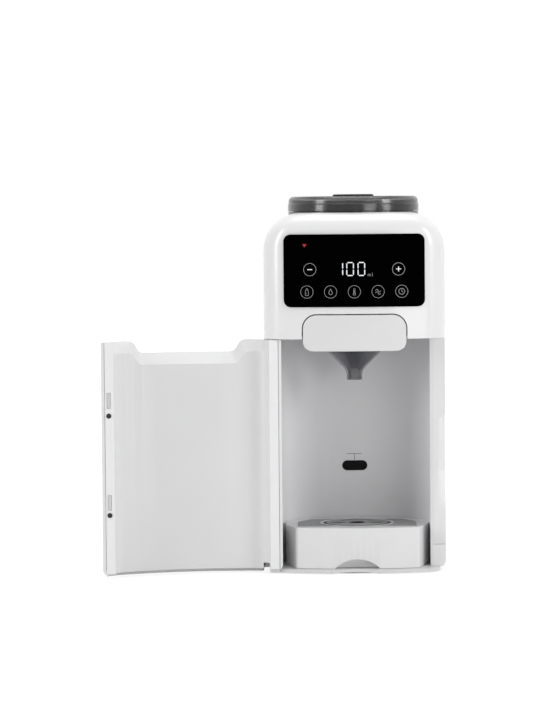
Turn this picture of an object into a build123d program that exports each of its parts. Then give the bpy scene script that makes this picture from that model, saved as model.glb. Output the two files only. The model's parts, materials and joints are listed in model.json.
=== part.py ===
"""Baby formula maker: a counter-top machine that meters milk powder and warm water through a
funnel into a bottle. It stands in its own frame: X to the right, Y to the back, Z up, with the
origin on the counter under the middle of the footprint. All lengths are in millimetres."""

import os
from math import acos, asin, atan2, ceil, cos, pi, radians, sin, sqrt, tan

from build123d import *

# ------------------------------------------------------------------ driving dimensions
# Casing
WIDTH = 191.0
DEPTH = 300.0
FRONT_RADIUS = 260.0  # the front's gentle arc, in plan
CORNER_RADIUS = 28.0  # the front corners, in plan
REAR_RADIUS = 30.0
CASE_WALL = 3.0
CASE_BOTTOM = 2.0
BOTTOM_CORNER = 10.0
SEAM_HEIGHT = 28.0
SEAM_GAP = 0.3
FIT_GAP = 0.2  # between a fixed piece and what it sits in
RUN_GAP = 0.05  # radial, between a pin or shaft and its bore
SKIM = 0.03  # how far a trimming outline stands outside the faces it leaves alone
OVERRUN = 80.0  # how far a cutting shape runs past what it cuts

# Head
HEAD_BOTTOM = 248.0
HEAD_TOP = 380.5
SHOULDER_RADIUS = 40.0
BROW_RADIUS = 20.0
CEILING_THICKNESS = 2.5

# Base
BASE_BOTTOM = 1.0
BASE_TOP = 4.6
BASE_INSET = 6.0
BASE_NOTCH_WIDTH = 52.0
BASE_NOTCH_DEPTH = 10.0
FOOT_INSET = 18.0
FOOT_WIDTH = 8.0
FOOT_HEIGHT = 2.4
FOOT_PAD_RADIUS = 14.0
TUB_FLOOR_THICKNESS = 2.5
BASE_SCREW_INSET = 35.5
BASE_SCREW_ROWS = (2.0, 112.0)

# Bottle bay
SIDE_DEPTH = 16.1  # from the casing's side to the bay's inner face
BAY_BACK = -20.0
BAY_CORNER_RADIUS = 60.0
BAY_WALL = 2.5
POST_FACE = -111.5  # front faces of the two side walls
POST_THICKNESS = 4.5

# Door
DOOR_RIM = -112.0  # plane where the closed door meets the side walls
DOOR_BOTTOM = 1.2
DOOR_TOP = 247.2
DOOR_DEPTH = 13.0  # from the outer skin to the inner liner's face
DOOR_SKIN = 3.0
LINER_WALL = 2.2
LINER_BOTTOM = 5.2
LINER_GROOVE = 0.6
GROOVE_DEPTH = 1.2
NOTCH_DROP = 12.7
NOTCH_CLEAR = 1.2  # between the notch's slopes and the drawer plate's lower corners
NOTCH_LEAN = 58.0
NOTCH_RADIUS = 8.0
RIM_SLOPE_DROP = 12.5
RIM_SLOPE_FLARE = 4.6
HINGE_INSET = 8.0  # from the casing's side to the hinge axis
HINGE_SETBACK = 12.0  # from the door's rim plane to the hinge axis
HINGE_PIN_RADIUS = 1.8
HINGE_BOSS_RADIUS = 4.6
HINGE_BOSS_HEIGHT = 20.0
HINGE_PIN_REACH = 15.0
BLOCK_LEFT = 3.5
BLOCK_RIGHT = 7.0
BLOCK_HALF_LENGTH = 7.0
BLOCK_TOP = 10.6
BLOCK_SWEEP = 10.6
BLOCK_CLEARANCE = 0.7
HEEL_SWEEP = 15.0
CATCH_HEIGHTS = (187.0, 80.0)
MAGNET_HEIGHT = 16.0
MAGNET_WIDTH = 3.8
MAGNET_DEPTH = 3.0
BUMPER_HEIGHTS = (171.0, 67.0)
BUMPER_RADIUS = 2.6
CATCH_INSET = 7.5  # from the casing's side to the row of magnets and bumpers
DOOR_OPEN = 168.0  # how far the door stands open, in degrees

# Drawer with the funnel
PLATE_WIDTH = 108.4
PLATE_BOTTOM = 235.4
PLATE_TOP = 273.4
PLATE_TOP_RADIUS = 14.5
PLATE_BOTTOM_RADIUS = 10.5
PLATE_THICKNESS = 3.6
PLATE_PROUD = 0.4
PLATE_GAP = 1.1
FUNNEL_Y = -78.0
SPOUT_BOTTOM = 201.8
SPOUT_RADIUS = 8.3
CONE_START = 211.6  # where the cone would meet the spout with no flare
FLARE_RADIUS = 13.0
FUNNEL_WALL = 2.0
FUNNEL_TOP = 252.0
FUNNEL_RIM_RADIUS = 44.5
BOWL_RADIUS = 42.5
HOLDER_BOTTOM = 240.0
HOLDER_THICKNESS = 3.0
HOLDER_HALF_WIDTH = 49.8
HOLDER_BACK = -33.0
RUNNER_WIDTH = 2.2
RAIL_FRONT = -130.0
RAIL_LIP = 1.8
CHANNEL_HALF_WIDTH = 46.5

# Control panel
PANEL_WIDTH = 148.0
PANEL_BOTTOM = 281.8
PANEL_TOP = 358.0
PANEL_RADIUS = 7.5
PANEL_PROUD = 2.2
BOARD_Y = -139.5
BOARD_THICKNESS = 1.6
BOARD_MARGIN = 16.0
DISPLAY_WIDTH = 44.0
DISPLAY_BOTTOM = 310.5
DISPLAY_TOP = 332.5
KEY_RADIUS = 3.5
TOP_KEY_HEIGHT = 321.2
TOP_KEY_X = 46.5
LOW_KEY_HEIGHT = 297.8
LOW_KEY_PITCH = 24.8

# Powder hopper, lid and dosing drive
HOPPER_Y = -62.0
HOPPER_RADIUS = 64.0
HOPPER_WALL = 2.5
HOPPER_RIM_RADIUS = 69.7
HOPPER_RIM_HEIGHT = 4.7
HOPPER_SEAT_DEPTH = 3.7  # the round recess in the head's top
HOPPER_SEAT_GAP = 0.6
HOPPER_SEAT_WALL = 2.5
HOPPER_NECK = 8.0
LID_RADIUS = 70.0
LID_HEIGHT = 15.6
LID_WALL = 2.5
LID_SHOULDER = 5.0
LID_STEP = 0.7
LID_BAND = 7.2
LID_WELL_RADIUS = 24.0
LID_WELL_DEPTH = 5.5
KNOB_RADIUS = 21.8
KNOB_FOOT_RADIUS = 18.8
KNOB_PROUD = 2.1
DOSE_PLATE = 3.0
DOSE_RADIUS = 61.0
WHEEL_RADIUS = 57.5
WHEEL_HEIGHT = 12.0
WHEEL_PLAY = 0.3
POCKET_COUNT = 6
POCKET_RADIUS = 8.0
POCKET_CIRCLE = 38.0
CHUTE_GAP = 2.0  # from the funnel's top to the chute and the nozzle
SHAFT_RADIUS = 4.0
SHAFT_HEX = 7.6
SHAFT_REACH = 11.8  # above the hopper's floor
BUSH_RADIUS = 6.0
GEAR_MODULE = 1.2
GEAR_TEETH = 40
PINION_TEETH = 12
GEAR_HEIGHT = 6.0
GEAR_BACKLASH = 0.25
PINION_BEARING = 54.0  # direction from the drive gear to the pinion, from +X
MOTOR_RADIUS = 14.0
MOTOR_HEIGHT = 14.1
MOTOR_SEAT = 3.9  # from the ceiling plate to the motor
MOTOR_SHAFT_RADIUS = 1.5
COLUMN_RADIUS = 5.0
COLUMNS = ((-54.5, -84.0), (54.5, -84.0), (-14.0, -9.0))
STIRRER_REACH = 57.0
STIRRER_HUB_RADIUS = 9.0
STIRRER_FINGER_HEIGHT = 32.3

# Water tank and its valve
TANK_HALF_WIDTH = 54.0
TANK_FRONT = 24.0
TANK_BACK = 140.0
TANK_RADIUS = 14.0
TANK_WALL = 2.5
TANK_BOTTOM = 208.8
TANK_TOP = 375.5
TANK_CLEARANCE = 2.0
TANK_LID_THICKNESS = 3.0
TANK_LID_PLUG = 4.0
TANK_PIN_Y = 138.8
TANK_PIN_RADIUS = 1.0
TANK_KNUCKLE_RADIUS = 2.1
KNUCKLE_INNER = 26.0
KNUCKLE_OUTER = 32.0
VALVE_Y = 82.0
SPOUT_OUTER = 9.5
SPOUT_INNER = 7.5
VALVE_LIFT = 3.0
VALVE_DISC_RADIUS = 6.4
STEM_RADIUS = 2.0
OPENER_TOP = 199.0
SPRING_RADIUS = 4.6
SPRING_WIRE = 0.5
SPRING_TURNS = 6
SHELF_BOTTOM = 205.0
SHELF_THICKNESS = 3.5
SEAT_RADIUS = 14.0

# Water circuit
BARB_RADIUS = 3.0
BARB_BORE = 2.0
BARB_LENGTH = 12.0
HOSE_RADIUS = 4.8
HOSE_BEND = 12.0
PUMP_X = 48.0
HEATER_X = -40.0
HEATER_RADIUS = 22.0
HEATER_BOTTOM = 25.0
HEATER_TOP = 155.0
RISER_X = -72.0
RISER_Y = 8.0
NOZZLE_X = -34.0
NOZZLE_Y = -72.0
NOZZLE_DROP = 16.0  # from the dosing base down to the nozzle's inlet

# Drip tray
TRAY_X = 1.7  # the tray stands a little right of the middle
TRAY_SIDE_GAP = 2.8
TRAY_FRONT = -135.5
TRAY_FRONT_RADIUS = 250.0
TRAY_FACET_INSET = 11.4
TRAY_SIDE_START = -81.0
TRAY_BACK = -23.0
TRAY_TOP = 48.0
TRAY_WALL = 2.5
TRAY_CORNER = 57.0
ARCH_WIDTH = 48.0
ARCH_HEIGHT = 10.0
ARCH_DEPTH = 12.0
GRILLE_MARGIN = 13.6  # from the tray's side
GRILLE_FRONT = -111.0
GRILLE_BACK = -38.0
GRILLE_CLIP_X = 14.0
GRILLE_CLIP_Y = 25.0
GRILLE_THICKNESS = 1.6
GRILLE_DISC_RADIUS = 40.0
GRILLE_DISC_SEAT = 2.2
COVER_THICKNESS = 2.6
COVER_SEAT = 2.0

# Bay sensor and rear panel
GRIP_BOTTOM = 103.5  # finger scallop in the right wall's front edge
GRIP_TOP = 167.0
GRIP_WIDTH = 7.5
GRIP_DEPTH = 18.0
SENSOR_HEIGHT = 104.5
SENSOR_WIDTH = 27.0
SENSOR_TALL = 10.6
REAR_HALF_WIDTH = 62.0
REAR_BOTTOM = 45.0
REAR_TOP = 175.0
REAR_RECESS = 2.0
REAR_LEDGE = 5.0
VENT_ROWS = 9
VENT_LENGTH = 40.0
VENT_HEIGHT = 3.0
VENT_PITCH = 7.5
INLET_X = -36.0
INLET_Z = 66.0
SCREW_RADIUS = 1.6
SCREW_HEAD_RADIUS = 3.1
SCREW_HEAD_HEIGHT = 1.5

# ------------------------------------------------------------------ places worked out from them
HALF_WIDTH = WIDTH / 2
FRONT = -DEPTH / 2
REAR = DEPTH / 2
CORNER_X = HALF_WIDTH - CORNER_RADIUS
ARC_Y = FRONT + FRONT_RADIUS
CORNER_Y = ARC_Y - sqrt((FRONT_RADIUS - CORNER_RADIUS) ** 2 - CORNER_X**2)
CORNER_START = atan2(CORNER_X, ARC_Y - CORNER_Y)  # where the front arc meets the corner
BAY_HALF_WIDTH = HALF_WIDTH - SIDE_DEPTH
BAY_OUTER = BAY_HALF_WIDTH + BAY_WALL
HINGE_X = -HALF_WIDTH + HINGE_INSET
HINGE_Y = DOOR_RIM - HINGE_SETBACK
CATCH_STRIP_X = HALF_WIDTH - CATCH_INSET
BAY_REAR = BAY_BACK + BAY_WALL
BAY_BOTTOM = BASE_TOP + FIT_GAP
TUB_FLOOR = BASE_TOP + 0.1
TUB_FLOOR_TOP = TUB_FLOOR + TUB_FLOOR_THICKNESS
CEILING_TOP = HEAD_BOTTOM + CEILING_THICKNESS
NOTCH_BOTTOM = DOOR_TOP - NOTCH_DROP
PLATE_CORNER_X = PLATE_WIDTH / 2 - PLATE_BOTTOM_RADIUS
PLATE_CORNER_RISE = PLATE_BOTTOM + PLATE_BOTTOM_RADIUS - (DOOR_TOP + NOTCH_BOTTOM) / 2
NOTCH_REACH = PLATE_BOTTOM_RADIUS + NOTCH_CLEAR - PLATE_CORNER_RISE * cos(radians(NOTCH_LEAN))
NOTCH_HALF_WIDTH = PLATE_CORNER_X + NOTCH_REACH / sin(radians(NOTCH_LEAN))
HOLDER_TOP = HOLDER_BOTTOM + HOLDER_THICKNESS
HOPPER_SEAT = HEAD_TOP - HOPPER_SEAT_DEPTH
RIM_BOTTOM = HOPPER_SEAT + 0.3
RIM_TOP = RIM_BOTTOM + HOPPER_RIM_HEIGHT
LID_BOTTOM = RIM_TOP + 0.3
LID_TOP = LID_BOTTOM + LID_HEIGHT
NECK_TOP = RIM_TOP + HOPPER_NECK
WELL_FLOOR = LID_TOP - LID_WELL_DEPTH
MOTOR_BOTTOM = CEILING_TOP + MOTOR_SEAT
MOTOR_TOP = MOTOR_BOTTOM + MOTOR_HEIGHT
GEAR_BOTTOM = MOTOR_TOP + 1.5
DOSE_FLOOR = GEAR_BOTTOM + GEAR_HEIGHT + 8.0
DOSE_TOP = DOSE_FLOOR + DOSE_PLATE
HOPPER_FLOOR = DOSE_TOP + WHEEL_PLAY + WHEEL_HEIGHT + 0.9
SHAFT_TOP = HOPPER_FLOOR + SHAFT_REACH
STIRRER_BOTTOM = HOPPER_FLOOR + HOPPER_WALL + 0.3
CHUTE_BOTTOM = FUNNEL_TOP + CHUTE_GAP
NOZZLE_HEIGHT = DOSE_FLOOR - NOZZLE_DROP
TRAY_HALF_WIDTH = BAY_HALF_WIDTH - TRAY_SIDE_GAP
TRAY_FACET_X = TRAY_HALF_WIDTH - TRAY_FACET_INSET
GRILLE_HALF_WIDTH = TRAY_HALF_WIDTH - GRILLE_MARGIN
GEAR_DISTANCE = GEAR_MODULE * (GEAR_TEETH + PINION_TEETH) / 2
PINION_X = GEAR_DISTANCE * cos(radians(PINION_BEARING))
PINION_Y = HOPPER_Y + GEAR_DISTANCE * sin(radians(PINION_BEARING))
SHELF_TOP = SHELF_BOTTOM + SHELF_THICKNESS
TANK_OPEN_X = TANK_HALF_WIDTH + TANK_CLEARANCE
TANK_LID_BOTTOM = HEAD_TOP - FIT_GAP - TANK_LID_THICKNESS
TANK_PIN_Z = TANK_LID_BOTTOM + TANK_LID_THICKNESS / 2
TANK_FLOOR_TOP = TANK_BOTTOM + TANK_WALL
DISC_CLOSED = OPENER_TOP + 3.0
DISC_OPEN = DISC_CLOSED + VALVE_LIFT
DISC_THICKNESS = 2.0
CAGE_TOP = TANK_FLOOR_TOP + 11.0


# ------------------------------------------------------------------ small builders
def box(x, y, z):
    """A block between the low and high ends given on each axis."""
    size = [high - low for low, high in (x, y, z)]
    centre = [(low + high) / 2 for low, high in (x, y, z)]
    return Pos(*centre) * Box(*size)


def rod(x, y, bottom, top, radius):
    """An upright round bar."""
    return Pos(x, y, (bottom + top) / 2) * Cylinder(radius, top - bottom)


def pipe(x, y, bottom, top, outer, inner):
    """An upright round tube."""
    return rod(x, y, bottom, top, outer) - rod(x, y, bottom - 1, top + 1, inner)


def bar_x(y, z, left, right, radius):
    """A round bar along X."""
    return Pos((left + right) / 2, y, z) * Rot(0, 90, 0) * Cylinder(radius, right - left)


def bar_y(x, z, front, back, radius):
    """A round bar along Y."""
    return Pos(x, (front + back) / 2, z) * Rot(90, 0, 0) * Cylinder(radius, back - front)


def turned(points, x=0.0, y=0.0):
    """A solid of revolution about an upright axis, from (radius, height) points."""
    profile = Plane.XZ * make_face(Polyline(*points, close=True))
    return Pos(x, y, 0) * revolve(profile, Axis.Z)


def from_front(face, front, back):
    """A prism along Y of an outline drawn in front view, x to the right and y up."""
    plane = Plane(origin=(0, back, 0), x_dir=(1, 0, 0), z_dir=(0, -1, 0))
    return extrude(plane * face, amount=back - front)


def rounded_panel(left, right, bottom, top, low_radius, high_radius):
    """A rectangle whose lower and upper corners have their own radii."""
    outline = Pos((left + right) / 2, (bottom + top) / 2) * Rectangle(right - left, top - bottom)
    middle = (bottom + top) / 2
    low = [v for v in outline.vertices() if v.Y < middle]
    outline = fillet(low, low_radius)
    high = [v for v in outline.vertices() if v.Y > middle + (top - bottom) / 2 - 0.01]
    return fillet(high, high_radius)


def footprint(half_width, front, rear, front_radius, corner_radius, rear_radius):
    """The casing's outline in plan: a front arc, two round corners, flat sides and a flat back."""
    arc_y = front + front_radius
    corner_x = half_width - corner_radius
    corner_y = arc_y - sqrt((front_radius - corner_radius) ** 2 - corner_x**2)
    start = atan2(corner_x, arc_y - corner_y)
    middle = (start + pi / 2) / 2
    tangent = (front_radius * sin(start), arc_y - front_radius * cos(start))
    bulge = (
        corner_x + corner_radius * sin(middle),
        corner_y - corner_radius * cos(middle),
    )
    rear_x = half_width - rear_radius
    rear_y = rear - rear_radius
    diagonal = rear_radius * sqrt(0.5)
    rear_bulge = (rear_x + diagonal, rear_y + diagonal)

    def left(point):
        return (-point[0], point[1])

    side = (half_width, corner_y)
    side_end = (half_width, rear_y)
    back_end = (rear_x, rear)
    edges = [
        ThreePointArc(left(tangent), (0, front), tangent),
        ThreePointArc(tangent, bulge, side),
        Line(side, side_end),
        ThreePointArc(side_end, rear_bulge, back_end),
        Line(back_end, left(back_end)),
        ThreePointArc(left(back_end), left(rear_bulge), left(side_end)),
        Line(left(side_end), left(side)),
        ThreePointArc(left(side), left(bulge), left(tangent)),
    ]
    return make_face(edges)


def casing(inset, bottom, top):
    """A prism of the casing's footprint, moved in by an even inset."""
    face = footprint(
        HALF_WIDTH - inset,
        FRONT + inset,
        REAR - inset,
        FRONT_RADIUS - inset,
        CORNER_RADIUS - inset,
        REAR_RADIUS - inset,
    )
    return extrude(Pos(0, 0, bottom) * face, amount=top - bottom)


def silhouette(bottom, inset=-SKIM):
    """Everything inside the lower casing's front outline, which has rounded bottom corners."""
    half, low = HALF_WIDTH - inset, bottom + inset
    face = rounded_panel(-half, half, low, HEAD_TOP, BOTTOM_CORNER - max(inset, 0), 1.0)
    return from_front(face, FRONT - 5, REAR + 5)


def in_front_of(y):
    return box((-WIDTH, WIDTH), (FRONT - OVERRUN, y), (-OVERRUN, LID_TOP + OVERRUN))


def behind(y):
    return box((-WIDTH, WIDTH), (y, REAR + OVERRUN), (-OVERRUN, LID_TOP + OVERRUN))


def hinge_cylinder(bottom, top, radius):
    return rod(HINGE_X, HINGE_Y, bottom, top, radius)


def hexagon_bar(y, bottom, top, across_flats):
    """An upright hexagonal bar on the machine's middle plane."""
    face = RegularPolygon(across_flats / 2, 6, major_radius=False)
    return extrude(Pos(0, y, bottom) * face, amount=top - bottom)


def rounded_block(x, y, z, radius):
    """A block with rounded upright edges."""
    face = RectangleRounded(x[1] - x[0], y[1] - y[0], radius)
    centre = Pos((x[0] + x[1]) / 2, (y[0] + y[1]) / 2, z[0])
    return extrude(centre * face, amount=z[1] - z[0])


# ------------------------------------------------------------------ base and casing
def make_base_plate():
    plate = casing(BASE_INSET, BASE_BOTTOM, BASE_TOP)
    notch_radius = ((BASE_NOTCH_WIDTH / 2) ** 2 + BASE_NOTCH_DEPTH**2) / (2 * BASE_NOTCH_DEPTH)
    notch_y = FRONT + BASE_INSET + BASE_NOTCH_DEPTH - notch_radius
    plate -= rod(0, notch_y, 0, BASE_TOP + 1, notch_radius)
    groove = casing(FOOT_INSET, 0, FOOT_HEIGHT) - casing(FOOT_INSET + FOOT_WIDTH, 0, FOOT_HEIGHT)
    plate -= groove + rod(0, 0, 0, FOOT_HEIGHT, FOOT_PAD_RADIUS + FIT_GAP)
    block = rounded_block(
        (HINGE_X - BLOCK_LEFT, HINGE_X + BLOCK_RIGHT),
        (HINGE_Y - BLOCK_HALF_LENGTH, HINGE_Y + BLOCK_HALF_LENGTH),
        (BASE_BOTTOM, BLOCK_TOP),
        1.5,
    )
    plate += block
    plate -= hinge_cylinder(BASE_BOTTOM + 2, BLOCK_TOP + 1, HINGE_PIN_RADIUS)
    for x, y in base_screw_places():
        plate -= rod(x, y, 0, BASE_TOP + 1, SCREW_RADIUS + 0.2)
        plate -= rod(x, y, 0, BASE_BOTTOM + SCREW_HEAD_HEIGHT + 0.2, SCREW_HEAD_RADIUS + 0.2)
    return plate


def make_foot_ring():
    """The rubber ring the machine stands on, with a round pad under its middle."""
    outer = casing(FOOT_INSET + FIT_GAP, 0, FOOT_HEIGHT)
    ring = outer - casing(FOOT_INSET + FOOT_WIDTH - FIT_GAP, -1, FOOT_HEIGHT + 1)
    return [ring, rod(0, 0, 0, FOOT_HEIGHT, FOOT_PAD_RADIUS)]


def base_screw_places():
    x = HALF_WIDTH - BASE_SCREW_INSET
    return [(side, y) for side in (-x, x) for y in BASE_SCREW_ROWS]


def wall_ring(bottom, top):
    """The casing's outer wall behind the door, with the two flat posts beside the bay."""
    ring = casing(0, bottom, top) - casing(CASE_WALL, bottom - 1, top + 1)
    post_bottom = max(bottom, TUB_FLOOR)
    posts = casing(0, post_bottom, top) & box(
        (-WIDTH, WIDTH), (POST_FACE, POST_FACE + POST_THICKNESS), (post_bottom, top)
    )
    posts -= box((-BAY_OUTER, BAY_OUTER), (FRONT, REAR), (bottom - 1, top + 1))
    ring = (ring & behind(POST_FACE)) + posts
    return ring - hinge_cylinder(bottom - 1, top + 1, HEEL_SWEEP)


def make_base_tub():
    tub = wall_ring(CASE_BOTTOM, SEAM_HEIGHT - SEAM_GAP / 2)
    floor = casing(CASE_WALL - 0.5, TUB_FLOOR, TUB_FLOOR_TOP) & behind(BAY_REAR + FIT_GAP)
    tub += floor
    for x, y in base_screw_places():
        tub += rod(x, y, TUB_FLOOR, 16, 4.5)
    for x, y in power_board_posts():
        tub += rod(x, y, TUB_FLOOR, 11, 3)
    for x, y in base_screw_places():
        tub -= rod(x, y, 0, 13, SCREW_RADIUS)
    return tub & silhouette(CASE_BOTTOM)


def make_main_housing():
    housing = wall_ring(SEAM_HEIGHT + SEAM_GAP / 2, HEAD_BOTTOM - 0.15)
    wide, tall = (-REAR_HALF_WIDTH, REAR_HALF_WIDTH), (REAR_BOTTOM, REAR_TOP)
    ledge_y = REAR - REAR_RECESS - CASE_WALL
    ledge = box(
        (wide[0] - REAR_LEDGE, wide[1] + REAR_LEDGE),
        (ledge_y - 3, REAR - CASE_WALL),
        (tall[0] - REAR_LEDGE, tall[1] + REAR_LEDGE),
    )
    ledge -= box(
        (wide[0] + REAR_LEDGE, wide[1] - REAR_LEDGE),
        (ledge_y - 4, REAR),
        (tall[0] + REAR_LEDGE, tall[1] - REAR_LEDGE),
    )
    housing += ledge
    opening = rounded_panel(*wide, *tall, 6, 6)
    housing -= from_front(opening, ledge_y, REAR + 1)
    housing += grip_pad() - grip_scallop()
    housing -= grip_scallop()
    for x, z in rear_screw_places():
        housing -= bar_y(x, z, ledge_y - 3.5, ledge_y + 1, SCREW_RADIUS)
    return housing


def grip_pad():
    """Solid stock behind the right wall's front edge, for the scallop to be cut into."""
    low, high = GRIP_BOTTOM - 4, GRIP_TOP + 4
    pad = casing(0, low, high) - casing(GRIP_WIDTH + CASE_WALL, low - 1, high + 1)
    return pad & box((0, WIDTH), (POST_FACE, POST_FACE + GRIP_DEPTH + CASE_WALL), (low, high))


def grip_scallop():
    """A slanted finger hold: widest at the front face and fading out to the back."""
    near, far, lean = HALF_WIDTH - GRIP_WIDTH, HALF_WIDTH + 1, 6.5
    ends = [(near, GRIP_BOTTOM + lean), (far, GRIP_BOTTOM), (far, GRIP_TOP), (near, GRIP_TOP - lean)]
    front = from_front(make_face(Polyline(*ends, close=True)), FRONT, 0)
    wedge = [(near, POST_FACE - 1), (far, POST_FACE - 1), (far, POST_FACE + GRIP_DEPTH)]
    return front & extrude(make_face(Polyline(*wedge, close=True)), amount=HEAD_BOTTOM)


def rear_screw_places():
    inset = 3.2
    return [
        (side * (REAR_HALF_WIDTH - inset), z)
        for side in (-1, 1)
        for z in (REAR_BOTTOM + 12, REAR_TOP - 12)
    ]


def make_rear_cover():
    back = REAR - REAR_RECESS
    outline = rounded_panel(
        -REAR_HALF_WIDTH + FIT_GAP,
        REAR_HALF_WIDTH - FIT_GAP,
        REAR_BOTTOM + FIT_GAP,
        REAR_TOP - FIT_GAP,
        6,
        6,
    )
    cover = from_front(outline, back - CASE_WALL + FIT_GAP, back)
    first_vent = REAR_TOP - 18
    for row in range(VENT_ROWS):
        for side in (-1, 1):
            slot = Pos(side * 26, first_vent - row * VENT_PITCH) * SlotOverall(
                VENT_LENGTH, VENT_HEIGHT
            )
            cover -= from_front(slot, back - 6, back + 1)
    inlet = Pos(INLET_X, INLET_Z) * RectangleRounded(27.4, 20.4, 3)
    cover -= from_front(inlet, back - 6, back + 1)
    for x, z in rear_screw_places():
        cover -= bar_y(x, z, back - 6, back + 1, SCREW_RADIUS + 0.2)
    return cover


def make_power_inlet():
    back = REAR - REAR_RECESS
    body = from_front(Pos(INLET_X, INLET_Z) * RectangleRounded(27, 20, 3), back - 20, back)
    body += from_front(Pos(INLET_X, INLET_Z) * RectangleRounded(33, 26, 4), back, REAR - 0.2)
    body -= from_front(Pos(INLET_X, INLET_Z) * RectangleRounded(20, 11, 4), back - 14, REAR + 1)
    for side in (-1, 1):
        body += bar_y(INLET_X + side * 4.5, INLET_Z, back - 14.5, REAR - 4, 1.2)
    return body


def bay_shell(half_width, back, radius, bottom, top):
    """A prism of the bay's U-shaped plan."""
    depth = back - POST_FACE + OVERRUN
    face = Pos(0, back - depth / 2) * Rectangle(2 * half_width, depth)
    corners = [v for v in face.vertices() if v.Y > back - 1]
    face = fillet(corners, radius)
    return extrude(Pos(0, 0, bottom) * face, amount=top - bottom)


def make_cavity_liner():
    bottom, top = BAY_BOTTOM, HEAD_BOTTOM - FIT_GAP
    outer = bay_shell(
        BAY_OUTER - 0.02, BAY_REAR, BAY_CORNER_RADIUS + BAY_WALL, bottom, top
    )
    shell = outer & behind(POST_FACE)
    for x, z in sensor_board_posts():
        shell += bar_y(x, z, BAY_REAR - 0.5, SENSOR_BOARD_Y, 2)
    for x, z in main_board_posts():
        shell += bar_y(x, z, BAY_REAR - 12, MAIN_BOARD_Y, 2.5)
    shell -= bay_shell(BAY_HALF_WIDTH, BAY_BACK, BAY_CORNER_RADIUS, bottom - 1, top + 1)
    pill = Pos(0, SENSOR_HEIGHT) * SlotOverall(SENSOR_WIDTH + 0.4, SENSOR_TALL + 0.4)
    shell -= hinge_cylinder(bottom - 1, top + 1, HEEL_SWEEP)
    return shell - from_front(pill, BAY_BACK - 5, BAY_REAR + 1)


# ------------------------------------------------------------------ head
def head_form(inset, bottom):
    """The head's rounded body: straight walls, round shoulders and a softer brow."""
    shoulder = SHOULDER_RADIUS - inset
    brow = BROW_RADIUS - inset
    shoulder_z = HEAD_TOP - SHOULDER_RADIUS
    brow_z = HEAD_TOP - BROW_RADIUS
    steps = 12
    sections = []
    for step in range(steps + 1):
        angle = pi / 2 * step / steps
        z, side = shoulder_z + shoulder * sin(angle), shoulder * (1 - cos(angle))
        over = min(max(z - brow_z, 0.0), brow)
        end = brow - sqrt(brow**2 - over**2)
        face = footprint(
            HALF_WIDTH - inset - side,
            FRONT + inset + end,
            REAR - inset - end,
            FRONT_RADIUS - inset,
            CORNER_RADIUS - inset,
            REAR_RADIUS - inset,
        )
        sections.append(Pos(0, 0, z) * face)
    return casing(inset, bottom, shoulder_z) + loft(sections)


def plate_outline(grow):
    return rounded_panel(
        -PLATE_WIDTH / 2 - grow,
        PLATE_WIDTH / 2 + grow,
        PLATE_BOTTOM - grow,
        PLATE_TOP + grow,
        PLATE_BOTTOM_RADIUS + grow,
        PLATE_TOP_RADIUS + grow,
    )


def make_head_cover():
    form = head_form(0, HEAD_BOTTOM)
    cover = form - head_form(CASE_WALL, HEAD_BOTTOM - 1)
    well = HOPPER_RIM_RADIUS + HOPPER_SEAT_GAP
    cover += rod(0, HOPPER_Y, HOPPER_SEAT - 4, HEAD_TOP, well + HOPPER_SEAT_WALL) & form
    cover -= rod(0, HOPPER_Y, HOPPER_SEAT, HEAD_TOP + 1, well)
    cover -= rod(0, HOPPER_Y, HEAD_TOP - 10, HEAD_TOP + 1, HOPPER_RADIUS + 1)
    cover -= tank_opening(HEAD_TOP - 25, HEAD_TOP + 1)
    cover -= from_front(plate_outline(PLATE_GAP), FRONT - 5, FRONT + 20)
    window = rounded_panel(
        -DISPLAY_WIDTH / 2 - 1,
        DISPLAY_WIDTH / 2 + 1,
        DISPLAY_BOTTOM - 1,
        DISPLAY_TOP + 1,
        1,
        1,
    )
    return cover - from_front(window, FRONT - 5, FRONT + 20)


def tank_opening(bottom, top):
    return rounded_block(
        (-TANK_OPEN_X, TANK_OPEN_X),
        (TANK_FRONT - TANK_CLEARANCE, TANK_BACK + TANK_CLEARANCE),
        (bottom, top),
        TANK_RADIUS + TANK_CLEARANCE,
    )


def make_head_base():
    plate = casing(CASE_WALL + FIT_GAP, HEAD_BOTTOM, CEILING_TOP)
    under, over = HEAD_BOTTOM - 8, CEILING_TOP + 8
    half = CHANNEL_HALF_WIDTH
    plate -= box((-half, half), (FRONT - 5, HOLDER_BACK + 1), (under, over))
    mouth = PLATE_WIDTH / 2 + PLATE_GAP
    plate -= box((-mouth, mouth), (FRONT - 5, RAIL_FRONT - 6), (under, over))
    plate -= tank_opening(under, over)
    plate -= rod(RISER_X, RISER_Y, under, over, HOSE_RADIUS + 1)
    return plate + motor_bracket() - hinge_cylinder(under, over, HINGE_PIN_RADIUS)


def make_drawer_rails():
    """Two L-shaped runners under the ceiling plate, one each side of the channel."""
    web = HOLDER_HALF_WIDTH + 0.5
    lip_top = HOLDER_BOTTOM - FIT_GAP
    rails = []
    for side in (-1, 1):
        rail = box(sided(side, web, web + 2.5), (RAIL_FRONT, HOLDER_BACK), (lip_top - RAIL_LIP, HEAD_BOTTOM))
        rail += box(sided(side, web - 4, web), (RAIL_FRONT, HOLDER_BACK), (lip_top - RAIL_LIP, lip_top))
        rails.append(rail)
    return rails


def sided(side, near, far):
    """A low and high pair on X for a feature from near to far of the middle plane."""
    return (near, far) if side > 0 else (-far, -near)


# ------------------------------------------------------------------ control panel
def key_places():
    low = [(step * LOW_KEY_PITCH, LOW_KEY_HEIGHT) for step in range(-2, 3)]
    return low + [(-TOP_KEY_X, TOP_KEY_HEIGHT), (TOP_KEY_X, TOP_KEY_HEIGHT)]


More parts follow.
